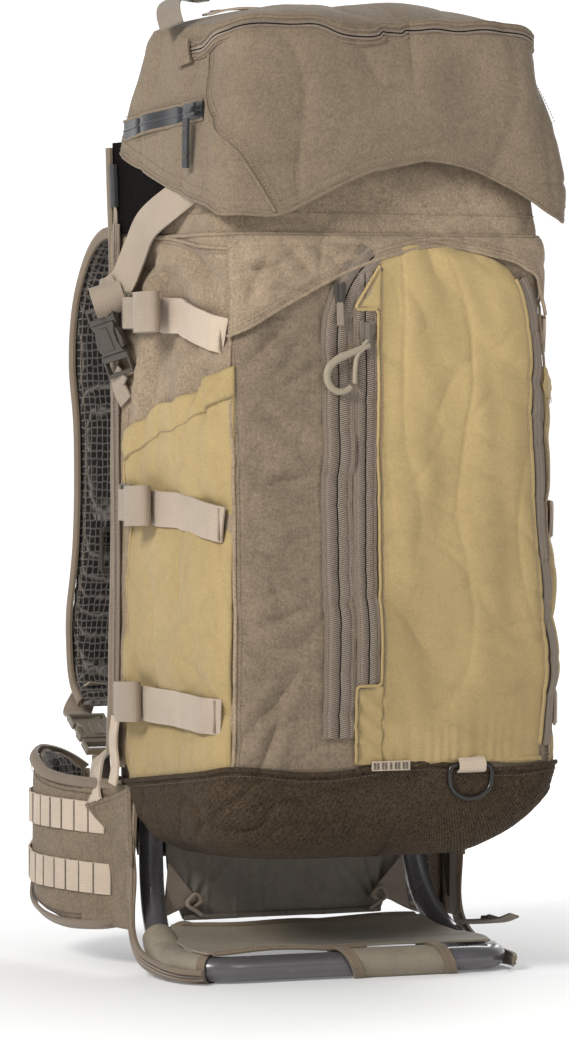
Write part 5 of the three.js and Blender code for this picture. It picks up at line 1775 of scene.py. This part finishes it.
def zip_pulls():
    lo, hi = box("outer_zip_slider")
    c = (lo + hi) / 2
    obj = slider("outer_slider", (c[0], hi[1] - 2.5 * MM, c[2]), (0, 0, 1), (0, -1, 0), (10 * MM, 17 * MM, 3.6 * MM),
                 body="outer_zip_slider")
    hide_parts("outer_zip_slider")
    tab = smooth_path([(c[0], lo[1] - 1.2 * MM, c[2]), (c[0], lo[1] - 1.5 * MM, c[2] - 12 * MM),
                       (c[0] + 0.5 * MM, lo[1] - 1.0 * MM, c[2] - 26 * MM)], 20)
    strap("outer_slider_tab", tab, (0, -1, 0), 5 * MM, 1.6 * MM, M["web_dark"], "outer_zip_slider")
    lo, hi = box("inner_zip_slider")
    c = (lo + hi) / 2
    obj = slider("inner_slider", (c[0], hi[1] - 1.5 * MM, c[2] + 2 * MM), (0, 0, 1), (0, -1, 0),
                 (12 * MM, 20 * MM, 4.0 * MM), body="inner_zip_slider", material=M["plastic"])
    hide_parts("inner_zip_slider")
    # hook-shaped rubber pull, hung on a moulded link
    lo, hi = box("inner_zip_pull")
    y = (lo[1] + hi[1]) / 2
    cx, cz = -0.0515, 0.4795
    hook = []
    for deg in np.linspace(130, 318, 30):
        a = math.radians(deg)
        hook.append((cx + 11.8 * MM * math.cos(a), y, cz + 12.4 * MM * math.sin(a)))
    stem = [(c[0] + 1 * MM, y, hi[2] - 4 * MM), (cx + 9 * MM, y, cz + 18 * MM), (cx - 1 * MM, y, cz + 14 * MM)]
    line = smooth_path(stem + hook[1:], 110)
    t = tangents(line)
    side = np.cross(t, (0, -1.0, 0))
    thick = 2.3 * MM + 0.9 * MM * np.sin(np.linspace(0, math.pi, 110))
    turn = np.linspace(0, 2 * math.pi, 14, endpoint=False)
    ring = (line[:, None] + side[:, None] * (np.cos(turn)[None, :] * thick[:, None])[..., None]
            + np.array((0, -1.0, 0)) * (np.sin(turn)[None, :, None] * 2.0 * MM))
    obj = closed_strip("hook_pull", ring, M["pull"], "inner_zip_pull", "plastic", smooth=True)
    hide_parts("inner_zip_pull")
    link = smooth_path([(cx + 19 * MM, y, cz + 24 * MM), (cx + 22 * MM, y - 0.6 * MM, cz + 27 * MM),
                        (c[0], y + 0.2 * MM, hi[2] - 0.5 * MM)], 16)
    cord_mesh("hook_link", link, 1.5 * MM, M["pull"], "inner_zip_pull", "plastic", sides=12)
    leg = smooth_path([(c[0], y, hi[2] - 4 * MM), (cx + 15 * MM, y, cz + 17 * MM), (cx + 12.5 * MM, y, cz + 6 * MM),
                       (cx + 12 * MM, y, cz - 6 * MM)], 40)
    cord_mesh("hook_leg", leg, 1.9 * MM, M["pull"], "inner_zip_pull", "plastic", sides=12)


def side_zip():
    z = np.linspace(0.168, 0.602, 150)
    x = np.full(150, -0.1497) + 0.5 * MM * np.sin(z * 24)
    path = np.stack([x, np.full(150, Y0 - 4 * MM), z], axis=1)
    zip_run("rear_side_zip", (path, np.tile((-1.0, 0, 0), (150, 1))), 13 * MM, tape=M["tape"])
    right = path * np.array((-1, 1, 1))
    strap("rear_side_tape_right", right, (1, 0, 0), 13 * MM, 1.2 * MM, M["tape"], slot="zip")
    lo, hi = box("side_zip_slider")
    c = (lo + hi) / 2
    obj = slider("side_slider", (hi[0] - 3.2 * MM, c[1], c[2]), (0, 0, 1), (-1, 0, 0), (9 * MM, 16 * MM, 3.8 * MM),
                 body="side_zip_slider", material=M["plastic"])
    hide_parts("side_zip_slider")
    x = lo[0] - 1.5 * MM
    for k, side in enumerate((-1, 1)):
        legs = smooth_path([(x, c[1] + side * 1.0 * MM, c[2] + 4 * MM), (x, c[1] + side * 2.2 * MM, c[2] + 18 * MM),
                            (x, c[1] + side * 1.4 * MM, c[2] + 30 * MM), (x, c[1] + 3 * MM, c[2] + 38 * MM)], 20)
        cord_mesh(f"side_pull_leg_{k}", legs, 1.0 * MM, M["pull"], "side_zip_slider", "plastic", sides=8)
    tab = smooth_path([(x, c[1] + 3 * MM, c[2] + 34 * MM), (x, c[1] + 4 * MM, c[2] + 50 * MM),
                       (x, c[1] + 6 * MM, c[2] + 68 * MM)], 20)
    strap("side_pull_tab", tab, (-1, 0, 0), 10 * MM, 3 * MM, M["black_web"], "side_zip_slider", "plastic",
          crown=0.8 * MM)


base_hardware()
zip_pulls()
side_zip()


# ---------- harness ----------
def swell(objs, cap, voxel=4.5 * MM, pressure=3.5, frames=16):
    """Cloth-simulated stuffing: each mesh is remeshed, blown up, and kept within cap of where it was."""
    scene = bpy.context.scene
    kept = []
    for obj in objs:
        mod = obj.modifiers.new("remesh", "REMESH")
        mod.mode = "VOXEL"
        mod.voxel_size = voxel
        graph = bpy.context.evaluated_depsgraph_get()
        mesh = bpy.data.meshes.new_from_object(obj.evaluated_get(graph))
        old = obj.data
        obj.modifiers.clear()
        names = [m for m in old.materials]
        obj.data = mesh
        mesh.materials.clear()
        for m in names:
            mesh.materials.append(m)
        start = np.zeros(len(mesh.vertices) * 3)
        mesh.vertices.foreach_get("co", start)
        kept.append(start.reshape(-1, 3))
        cloth_mod = obj.modifiers.new("stuffing", "CLOTH")
        s = cloth_mod.settings
        s.quality = 5
        s.mass = 0.25
        s.tension_stiffness = s.compression_stiffness = 18
        s.shear_stiffness = 8
        s.bending_stiffness = 0.6
        s.use_pressure = True
        s.uniform_pressure_force = pressure
        s.effector_weights.gravity = 0
        cloth_mod.collision_settings.use_collision = False
        cloth_mod.point_cache.frame_start = 1
        cloth_mod.point_cache.frame_end = frames
    for frame_number in range(1, frames + 1):
        scene.frame_set(frame_number)
    graph = bpy.context.evaluated_depsgraph_get()
    for obj, start in zip(objs, kept):
        done = obj.evaluated_get(graph).data
        end = np.zeros(len(done.vertices) * 3)
        done.vertices.foreach_get("co", end)
        move = end.reshape(-1, 3) - start
        size = np.linalg.norm(move, axis=1, keepdims=True)
        move *= np.minimum(1.0, cap / np.maximum(size, 1e-9))
        obj.modifiers.clear()
        obj.data.vertices.foreach_set("co", (start + move).ravel())
        obj.data.update()
        obj.data.shade_smooth()
        sub = obj.modifiers.new("smooth", "SUBSURF")
        sub.levels = sub.render_levels = 1
    scene.frame_set(1)


def faces_toward(obj, direction, first, second, limit=0.3):
    """Face material by side: first where a face looks along direction, second elsewhere."""
    mesh = obj.data
    mesh.materials.clear()
    mesh.materials.append(first)
    mesh.materials.append(second)
    d = Vector(direction)
    for polygon in mesh.polygons:
        polygon.material_index = 0 if polygon.normal.dot(d) > limit else 1


def superellipse(count, power):
    t = np.linspace(0, 2 * math.pi, count, endpoint=False)
    c, s = np.cos(t), np.sin(t)
    return np.sign(c) * np.abs(c) ** (2 / power), np.sign(s) * np.abs(s) ** (2 / power)


SHRINK = 1.3 * MM


def flat_pad(name, lo, hi, body, corner=5.0, rows=44, slot="mesh"):
    """Cushion that fills a box: its outline is a rounded rectangle in x and z, its thickness along y."""
    lo, hi = np.array(lo), np.array(hi)
    c, h = (lo + hi) / 2, (hi - lo) / 2 - SHRINK
    ex, ez = superellipse(96, corner)
    rings = []
    for k in range(rows):
        t = math.pi * (k + 0.5) / rows
        scale = min(1.0, math.sin(t) ** 0.35)
        depth = -math.cos(t)
        shell = np.stack([c[0] + ex * h[0] * (0.35 + 0.65 * scale) * scale ** 0.2,
                          np.full(96, c[1] + depth * h[1]),
                          c[2] + ez * h[2] * (0.35 + 0.65 * scale) * scale ** 0.2], axis=1)
        rings.append(shell)
    # ends are drawn in to the middle so that the caps are fine enough to remesh
    first, last = rings[0], rings[-1]
    inner = [first.mean(axis=0) + (first - first.mean(axis=0)) * k for k in (0.15, 0.4, 0.7)]
    outer = [last.mean(axis=0) + (last - last.mean(axis=0)) * k for k in (0.7, 0.4, 0.15)]
    return closed_strip(name, np.array(inner + rings + outer), M["mesh"], body, slot, smooth=True)


def back_pads():
    pads = []
    for name in ("left", "right"):
        lo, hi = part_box("back_pad_" + name)
        obj = flat_pad("back_cushion_" + name, lo, hi, "pack", 6.0)
        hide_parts("back_pad_" + name)
        pads.append(obj)
    lo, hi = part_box("lumbar_pad")
    obj = flat_pad("lumbar_cushion", lo, hi, "pack", 5.0)
    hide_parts("lumbar_pad")
    pads.append(obj)
    swell(pads, 3.0 * MM)
    for obj, node in zip(pads, ("back_pad_left", "back_pad_right", "lumbar_pad")):
        faces_toward(obj, (0, 1, 0), M["mesh"], M["belt"], 0.45)
        lo, hi = box(node)
        ex, ez = superellipse(140, 6.0 if "back" in node else 5.0)
        c, h = (lo + hi) / 2, (hi - lo) / 2 - 0.6 * MM
        edge = np.stack([c[0] + ex * h[0], np.full(140, lo[1] + 2.5 * MM), c[2] + ez * h[2]], axis=1)
        cord_mesh(f"{obj.name}_binding", close_ring(edge), 2.2 * MM, M["binding"], "pack", "webbing", out=(0, 1, 0))
        for k, share in enumerate((0.33, 0.66) if "back" in node else (0.5,)):
            z = lo[2] + (hi[2] - lo[2]) * share
            line = np.linspace((lo[0] + 5 * MM, hi[1] + 1.2 * MM, z), (hi[0] - 5 * MM, hi[1] + 1.2 * MM, z), 30)
            dashes(f"{obj.name}_thread_{k}", line, (0, 1, 0), M["thread_dark"])


STRAP_LINE = [(22, 570), (40, 588), (74, 597), (110, 580), (137, 540), (144, 490), (134, 430), (139, 340),
              (160, 262), (163, 225), (143, 204)]


def strap_frame(s, count):
    """Middle line of a shoulder strap, with the way out from the wearer along it."""
    line = smooth_path([D(s * 93, y, z) for y, z in STRAP_LINE], count)
    t = tangents(line)
    out = np.cross(t, (1.0, 0, 0))
    out *= np.sign(out[count // 2, 1])
    return line, unit(out)


def shoulder_straps():
    pads = []
    for s, name in SIDES:
        body = "shoulder_strap_" + name
        line, out = strap_frame(s, 150)
        ex, ey = superellipse(44, 3.2)
        share = np.linspace(0, 1, 150)
        width = 31 * MM * (0.62 + 0.38 * step(share, 0.0, 0.14)) * (1 - 0.22 * step(share, 0.80, 0.97))
        width = width + 1.5 * MM * hill(share, 0.45, 0.2)
        thick = 5.6 * MM * (0.45 + 0.55 * step(share, 0.0, 0.05)) * (0.5 + 0.5 * (1 - step(share, 0.95, 1.0)))
        ring = (line[:, None] + np.array((1.0, 0, 0)) * (ex[None, :] * width[:, None])[..., None]
                + out[:, None] * (ey[None, :] * thick[:, None])[..., None])
        obj = closed_strip("shoulder_pad_" + name, ring, M["mesh"], body, "mesh", smooth=True)
        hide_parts("shoulder_strap_" + name)
        pads.append((obj, s, name, line, out, width))
    swell([p[0] for p in pads], 2.0 * MM, 4.0 * MM, 2.5)
    for obj, s, name, line, out, width in pads:
        body = "shoulder_strap_" + name
        mesh = obj.data
        mesh.materials.clear()
        mesh.materials.append(M["mesh"])
        mesh.materials.append(M["belt"])
        centres = np.array([p.center for p in mesh.polygons])
        norms = np.array([p.normal for p in mesh.polygons])
        near = np.argmin(((centres[:, None, :] - line[None, ::3, :]) ** 2).sum(axis=2), axis=1) * 3
        facing = (norms * out[near]).sum(axis=1)
        mesh.polygons.foreach_set("material_index", (facing > -0.2).astype(np.int32))
        for side in (-1, 1):
            edge = line + np.array((1.0, 0, 0)) * (side * (width - 1.0 * MM))[:, None]
            ring_edge = edge[1:-1]
            strap(f"shoulder_binding_{name}_{side + 1}", ring_edge + np.array((side * 1.2 * MM, 0, 0)),
                  (side, 0, 0), 9 * MM, 2.2 * MM, M["binding"], body, crown=1.4 * MM)
            path = edge - out * 5.4 * MM - np.array((side * 4.5 * MM, 0, 0))
            dashes(f"shoulder_thread_{name}_{side + 1}", path[6:-6], -out[6:-6], body=body)
        face = line + out * 7.4 * MM
        strap(f"shoulder_web_{name}", face[8:140], out[8:140], 25 * MM, 1.8 * MM, M["web"], body)
        for k in range(12, 138, 14):
            bar_tack(f"shoulder_tack_{name}_{k}", face[k] + out[k] * 1.2 * MM, (1, 0, 0), out[k], 24 * MM, body)
        # piece that joins the strap to the top of the back panel, across the hinge
        root = smooth_path([D(s * 93, 16, 556), D(s * 93, 20, 570), D(s * 93, 32, 582), D(s * 93, 52, 592)], 30)
        t = tangents(root)
        o = np.cross(t, (1.0, 0, 0))
        o *= np.sign(o[-1, 2])
        obj = strap("shoulder_root_" + name, root, o, 46 * MM, 4.0 * MM, M["belt"], None, "twill")
        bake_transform(obj)
        # chest strap slider
        node = "sternum_slider_" + name
        lo, hi = box(node)
        c = (lo + hi) / 2
        sternum(name, c, s, node)
        # lower webbing and its buckle
        low_strap(s, name, body)


def sternum(name, c, s, body):
    """Chest strap slider: a rail clip on the strap's inner face, with half of a side-release buckle."""
    obj = ladder_lock("chest_slider_" + name, c, (0, 0, 1), (0, -1, 0), 34 * MM, 38 * MM, body,
                      M["plastic_dark"], 5 * MM)
    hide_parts("sternum_slider_" + name)
    side_release("chest_clip_" + name, c + np.array((-s * 12 * MM, -4.5 * MM, 2 * MM)), (-s, 0, 0.05), (0, -1, 0),
                 24 * MM, 36 * MM, body, M["plastic_dark"], 6 * MM)


def low_strap(s, name, body):
    lo, hi = box("strap_buckle_" + name)
    c = (lo + hi) / 2
    along = np.array((0, 0.84, 0.54))
    out = np.array((0, -0.54, 0.84))
    obj = side_release("strap_clip_" + name, c, along, out, 33 * MM, 50 * MM, body, M["plastic"], 9 * MM)
    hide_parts("strap_buckle_" + name)
    top = c + along * 23 * MM
    upper = smooth_path([D(s * 98, 150, 222), D(s * 104, 164, 214), D(s * 112, 163, 200), D(s * 118, 150, 196),
                         tuple(top)], 40)
    t = tangents(upper)
    o = np.cross(t, np.array((1.0, 0.1, 0)))
    o *= np.sign(o[0, 1]) if o[0, 1] else 1
    strap("strap_loop_" + name, upper, o, 24 * MM, 1.8 * MM, M["web_dark"], body)
    low = c - along * 22 * MM
    line = smooth_path([tuple(low), tuple(low + np.array((s * 8 * MM, -14 * MM, -8 * MM))),
                        D(s * 147, 42, 158), D(s * 156.5, 26, 140), D(s * 157, 22, 132)], 50)
    o = np.stack([np.linspace(s * 0.35, s * 1.0, 50), np.linspace(0.25, -0.02, 50), np.linspace(0.75, 0.02, 50)], 1)
    strap("strap_low_" + name, line, o, 24 * MM, 1.8 * MM, M["web"], "pack")
    slack = smooth_path([tuple(low), tuple(low + np.array((s * 3 * MM, -10 * MM, -20 * MM))),
                         D(s * 128, 58, 142), D(s * 134, 46, 132)], 30)
    strap("strap_low_slack_" + name, slack, (s, 0, 0.2), 18 * MM, 1.6 * MM, M["web_dark"], "pack")


WING_PLAN = [(137, -2, 36, 149), (146, 18, 32, 150), (151, 40, 30, 150), (156, 84, 29, 151), (156, 122, 34, 155),
             (148, 158, 46, 166), (132, 179, 74, 168), (108, 187, 92, 160), (93, 187, 102, 150)]


def wing_rows(count=140):
    """Centre line of a hip wing seen from above, with its low and high edges: rows of x, y, low, high."""
    p = np.array(WING_PLAN, float)
    run = np.concatenate([[0], np.cumsum(np.hypot(np.diff(p[:, 0]), np.diff(p[:, 1])))])
    at = np.linspace(0, run[-1], count)
    return np.stack([curve_interp(at, list(zip(run, p[:, k])), 1) for k in range(4)], axis=1)


WING = wing_rows()
_dx, _dy = np.gradient(WING[:, 0]), np.gradient(WING[:, 1])
_len = np.hypot(_dx, _dy)
WING_OUT = np.stack([_dy / _len, -_dx / _len], axis=1)


def wing_at(s, t, z, offset=0.0):
    """Points on the outer face of a wing: t is the share along it, z the height in millimetres."""
    t, z = np.broadcast_arrays(np.asarray(t, float), np.asarray(z, float))
    k = np.linspace(0, 1, len(WING))
    x, y = np.interp(t, k, WING[:, 0]), np.interp(t, k, WING[:, 1])
    nx, ny = np.interp(t, k, WING_OUT[:, 0]), np.interp(t, k, WING_OUT[:, 1])
    off = 7.0 + offset / MM
    p = np.stack([s * (x + nx * off) * MM, Y0 + (y + ny * off) * MM, z * MM], axis=-1)
    return p, np.stack([s * nx, ny, 0 * nx], axis=-1)


def wing_y(y):
    """Share along the wing where it passes a given y, on its straight part."""
    rows = WING[:90]
    return float(np.interp(y, rows[:, 1], np.linspace(0, 1, len(WING))[:90]))


def wing_root_x(y):
    """How far out the cover over a wing's root lies, in millimetres, by y."""
    return 147.5 + np.interp(y, (-36, 0, 20, 42), (0.6, 2.2, 8.6, 12.2))


def hip_wings():
    pads = []
    for s, name in SIDES:
        body = "hip_wing_" + name
        ex, ez = superellipse(64, 5.0)
        rings = []
        count = len(WING)
        for k in range(count):
            x, y, low, high = WING[k]
            nx, ny = WING_OUT[k]
            end = min(k / 6, (count - 1 - k) / 7, 1.0)
            round_end = math.sqrt(max(0.04, 1 - (1 - end) ** 2))
            half_t = (7.0 - SHRINK / MM) * (0.45 + 0.55 * round_end)
            mid, half = (low + high) / 2, (high - low) / 2 - SHRINK / MM
            half *= 0.86 + 0.14 * round_end
            # thickness falls off towards the top and bottom edges
            rings.append(np.stack([s * (x + nx * ex * half_t) * MM, Y0 + (y + ny * ex * half_t) * MM,
                                   (mid + ez * half) * MM], axis=1))
        obj = closed_strip("belt_wing_" + name, np.array(rings), M["belt"], body, "twill", smooth=True)
        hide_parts("hip_wing_" + name)
        pads.append((obj, s, name))
    swell([p[0] for p in pads], 2.6 * MM, 4.5 * MM, 3.0)
    for obj, s, name in pads:
        body = "hip_wing_" + name
        mesh = obj.data
        mesh.materials.clear()
        for key in ("belt_soft", "mesh"):
            mesh.materials.append(M[key])
        centres = np.array([p.center for p in mesh.polygons])
        flat = np.stack([s * WING[:, 0] * MM, Y0 + WING[:, 1] * MM], axis=1)
        near = np.argmin(((centres[:, None, :2] - flat[None]) ** 2).sum(axis=2), axis=1)
        depth = ((centres[:, 0] - flat[near, 0]) * s * WING_OUT[near, 0]
                 + (centres[:, 1] - flat[near, 1]) * WING_OUT[near, 1])
        mesh.polygons.foreach_set("material_index", (depth < -2.5 * MM).astype(np.int32))
        mesh.update()
        t = np.linspace(0.0, 1.0, 150)
        k = np.linspace(0, 1, len(WING))
        low, high = np.interp(t, k, WING[:, 2]), np.interp(t, k, WING[:, 3])
        for tag, z in (("low", low + 3.0), ("high", high - 3.0)):
            path, out = wing_at(s, t, z, -2.0 * MM)
            tilt = -UP if tag == "low" else UP
            o = out * 0.8 + tilt * 0.6
            strap(f"wing_binding_{tag}_{name}", path + o * 1.6 * MM, o, 9 * MM, 2.2 * MM, M["binding"], body,
                  crown=1.2 * MM)
            shift = 7.5 if tag == "low" else -7.5
            line, face = wing_at(s, t, z + shift, 1.4 * MM)
            dashes(f"wing_thread_{tag}_{name}", line, face, body=body, material=M["thread_dark"])
        z = np.linspace(float(WING[-1, 2]) + 2, float(WING[-1, 3]) - 2, 30)
        path, out = wing_at(s, np.full(30, 0.995), z, -2 * MM)
        strap(f"wing_binding_tip_{name}", path + out * 1 * MM, out, 9 * MM, 2.2 * MM, M["binding"], body,
              crown=1 * MM)
        # rows of webbing, puffed between tacks 21 mm apart
        for row, (z_mid, start) in enumerate(((120.5, 14), (71.0, 8))):
            t = np.linspace(wing_y(start), 0.93 if row == 0 else 0.80, 200)
            line, _ = wing_at(s, t, z_mid)
            cells = run_length(line) / (21 * MM)
            puff = 1.3 * MM * np.abs(np.sin(math.pi * cells)) ** 0.6
            drop = 4.0 * step(t, 0.55, 0.95)
            path, out = wing_at(s, t, z_mid + (drop if row == 0 else 3 * drop), 1.8 * MM + puff)
            strap(f"ladder_{row}_{name}", path, out, 25 * MM, 1.6 * MM, M["web"], body)
            for c in range(int(cells[-1]) + 1):
                at = int(np.argmin(np.abs(cells - c)))
                bar_tack(f"ladder_{row}_tack_{c}_{name}", path[at] + out[at] * 0.7 * MM, UP, out[at], 25.5 * MM, body,
                         M["thread_dark"])
        belt_end(s, name, body)
        wing_root(s, name)


def belt_end(s, name, body):
    """Belt webbing on a wing, and the half buckle at its end."""
    lo, hi = box("belt_buckle_" + name)
    c = (lo + hi) / 2
    obj = side_release("belt_clip_" + name, c, (-s, 0, 0), (0, 1, 0), 34 * MM, 42 * MM, body, M["plastic_dark"],
                       9 * MM)
    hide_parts("belt_buckle_" + name)
    line, out = wing_at(s, np.linspace(0.78, 0.99, 30), 126, 2.4 * MM)
    link = np.concatenate([line, np.linspace(line[-1], c + np.array((s * 16 * MM, 0, 0)), 10)[1:]])
    o = np.concatenate([out, np.tile(np.array((0, 1.0, 0)), (9, 1))])
    strap("belt_web_" + name, link, o, 30 * MM, 1.8 * MM, M["web"], body)


def wing_root(s, name):
    """Cover from the pack to a wing, across the hinge, with its stitched triangle."""
    u, v = np.meshgrid(np.linspace(0, 1, 50), np.linspace(0, 1, 40))
    y = -36 + 78 * u
    z = 33 + (116 + 0.5 * u) * v
    g = np.stack([s * wing_root_x(y) * MM, Y0 + y * MM, z * MM], axis=-1)
    g[..., 0] += s * 0.6 * MM * field(g, 0.06, 71)
    obj = sheet_mesh("wing_root_" + name, g, M["belt"], None, "twill", thick=1.6 * MM, flip=(s < 0))
    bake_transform(obj)
    tri = np.array([(34.5, 130.0), (-33, 149), (-37, 84)])
    a, b, c = tri
    yz = np.array([np.linspace(a + (b - a) * w, a + (c - a) * w, 16) for w in np.linspace(0, 1, 16)])
    x = wing_root_x(yz[..., 0]) + 2.4
    g = np.stack([s * x * MM, Y0 + yz[..., 0] * MM, yz[..., 1] * MM], axis=-1)
    obj = sheet_mesh("wing_patch_" + name, g, M["belt"], None, "twill", thick=1.8 * MM, flip=(s > 0))
    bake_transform(obj)
    for k, (p0, p1) in enumerate(((a, b), (a, c), (b, c))):
        inset = (tri.mean(axis=0) - (p0 + p1) / 2)
        inset = inset / np.linalg.norm(inset) * 3.0
        q = np.linspace(p0 + inset, p1 + inset, 40)
        x = wing_root_x(q[:, 0]) + 3.6
        line = np.stack([s * x * MM, Y0 + q[:, 0] * MM, q[:, 1] * MM], axis=1)
        obj = dashes(f"wing_patch_thread_{k}_{name}", line, (s, 0, 0), body=None)
        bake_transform(obj)


def haul_handle():
    turn = np.linspace(math.pi, 2 * math.pi, 60)
    line = np.stack([44 * MM * np.cos(turn), np.full(60, Y0 + 48 * MM), 0.572 + 40 * MM * np.sin(turn)], axis=1)
    out = np.stack([np.cos(turn), np.zeros(60), np.sin(turn)], axis=1)
    lo, hi = box("haul_handle")
    line[:, 1] = (lo[1] + hi[1]) / 2
    obj = strap("haul_loop", line, out, 22 * MM, 3.0 * MM, M["web"], "haul_handle", crown=0.5 * MM)
    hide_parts("haul_handle")
    for k, at in enumerate((4, 14, 45, 55)):
        bar_tack(f"haul_tack_{k}", line[at] - out[at] * 1.8 * MM, (0, 1, 0), -out[at], 20 * MM, "haul_handle")
    grip = line[20:40]
    strap("haul_grip", grip, out[20:40], 25 * MM, 5.0 * MM, M["belt"], "haul_handle", "twill", crown=1 * MM)
    for s, name in SIDES:
        base = smooth_path([D(s * 44, 14, 560), D(s * 44, 22, 572), D(s * 44, 34, 577)], 16)
        strap("haul_anchor_" + name, base, (0, -0.5, 1), 22 * MM, 2.4 * MM, M["web"])


M["belt_soft"] = cloth("belt cloth soft", shade(TAUPE, 0.62), "twill", thread=1.0 * MM, contrast=0.2, bump=0.5,
                       space="object")
back_pads()
shoulder_straps()
hip_wings()
haul_handle()
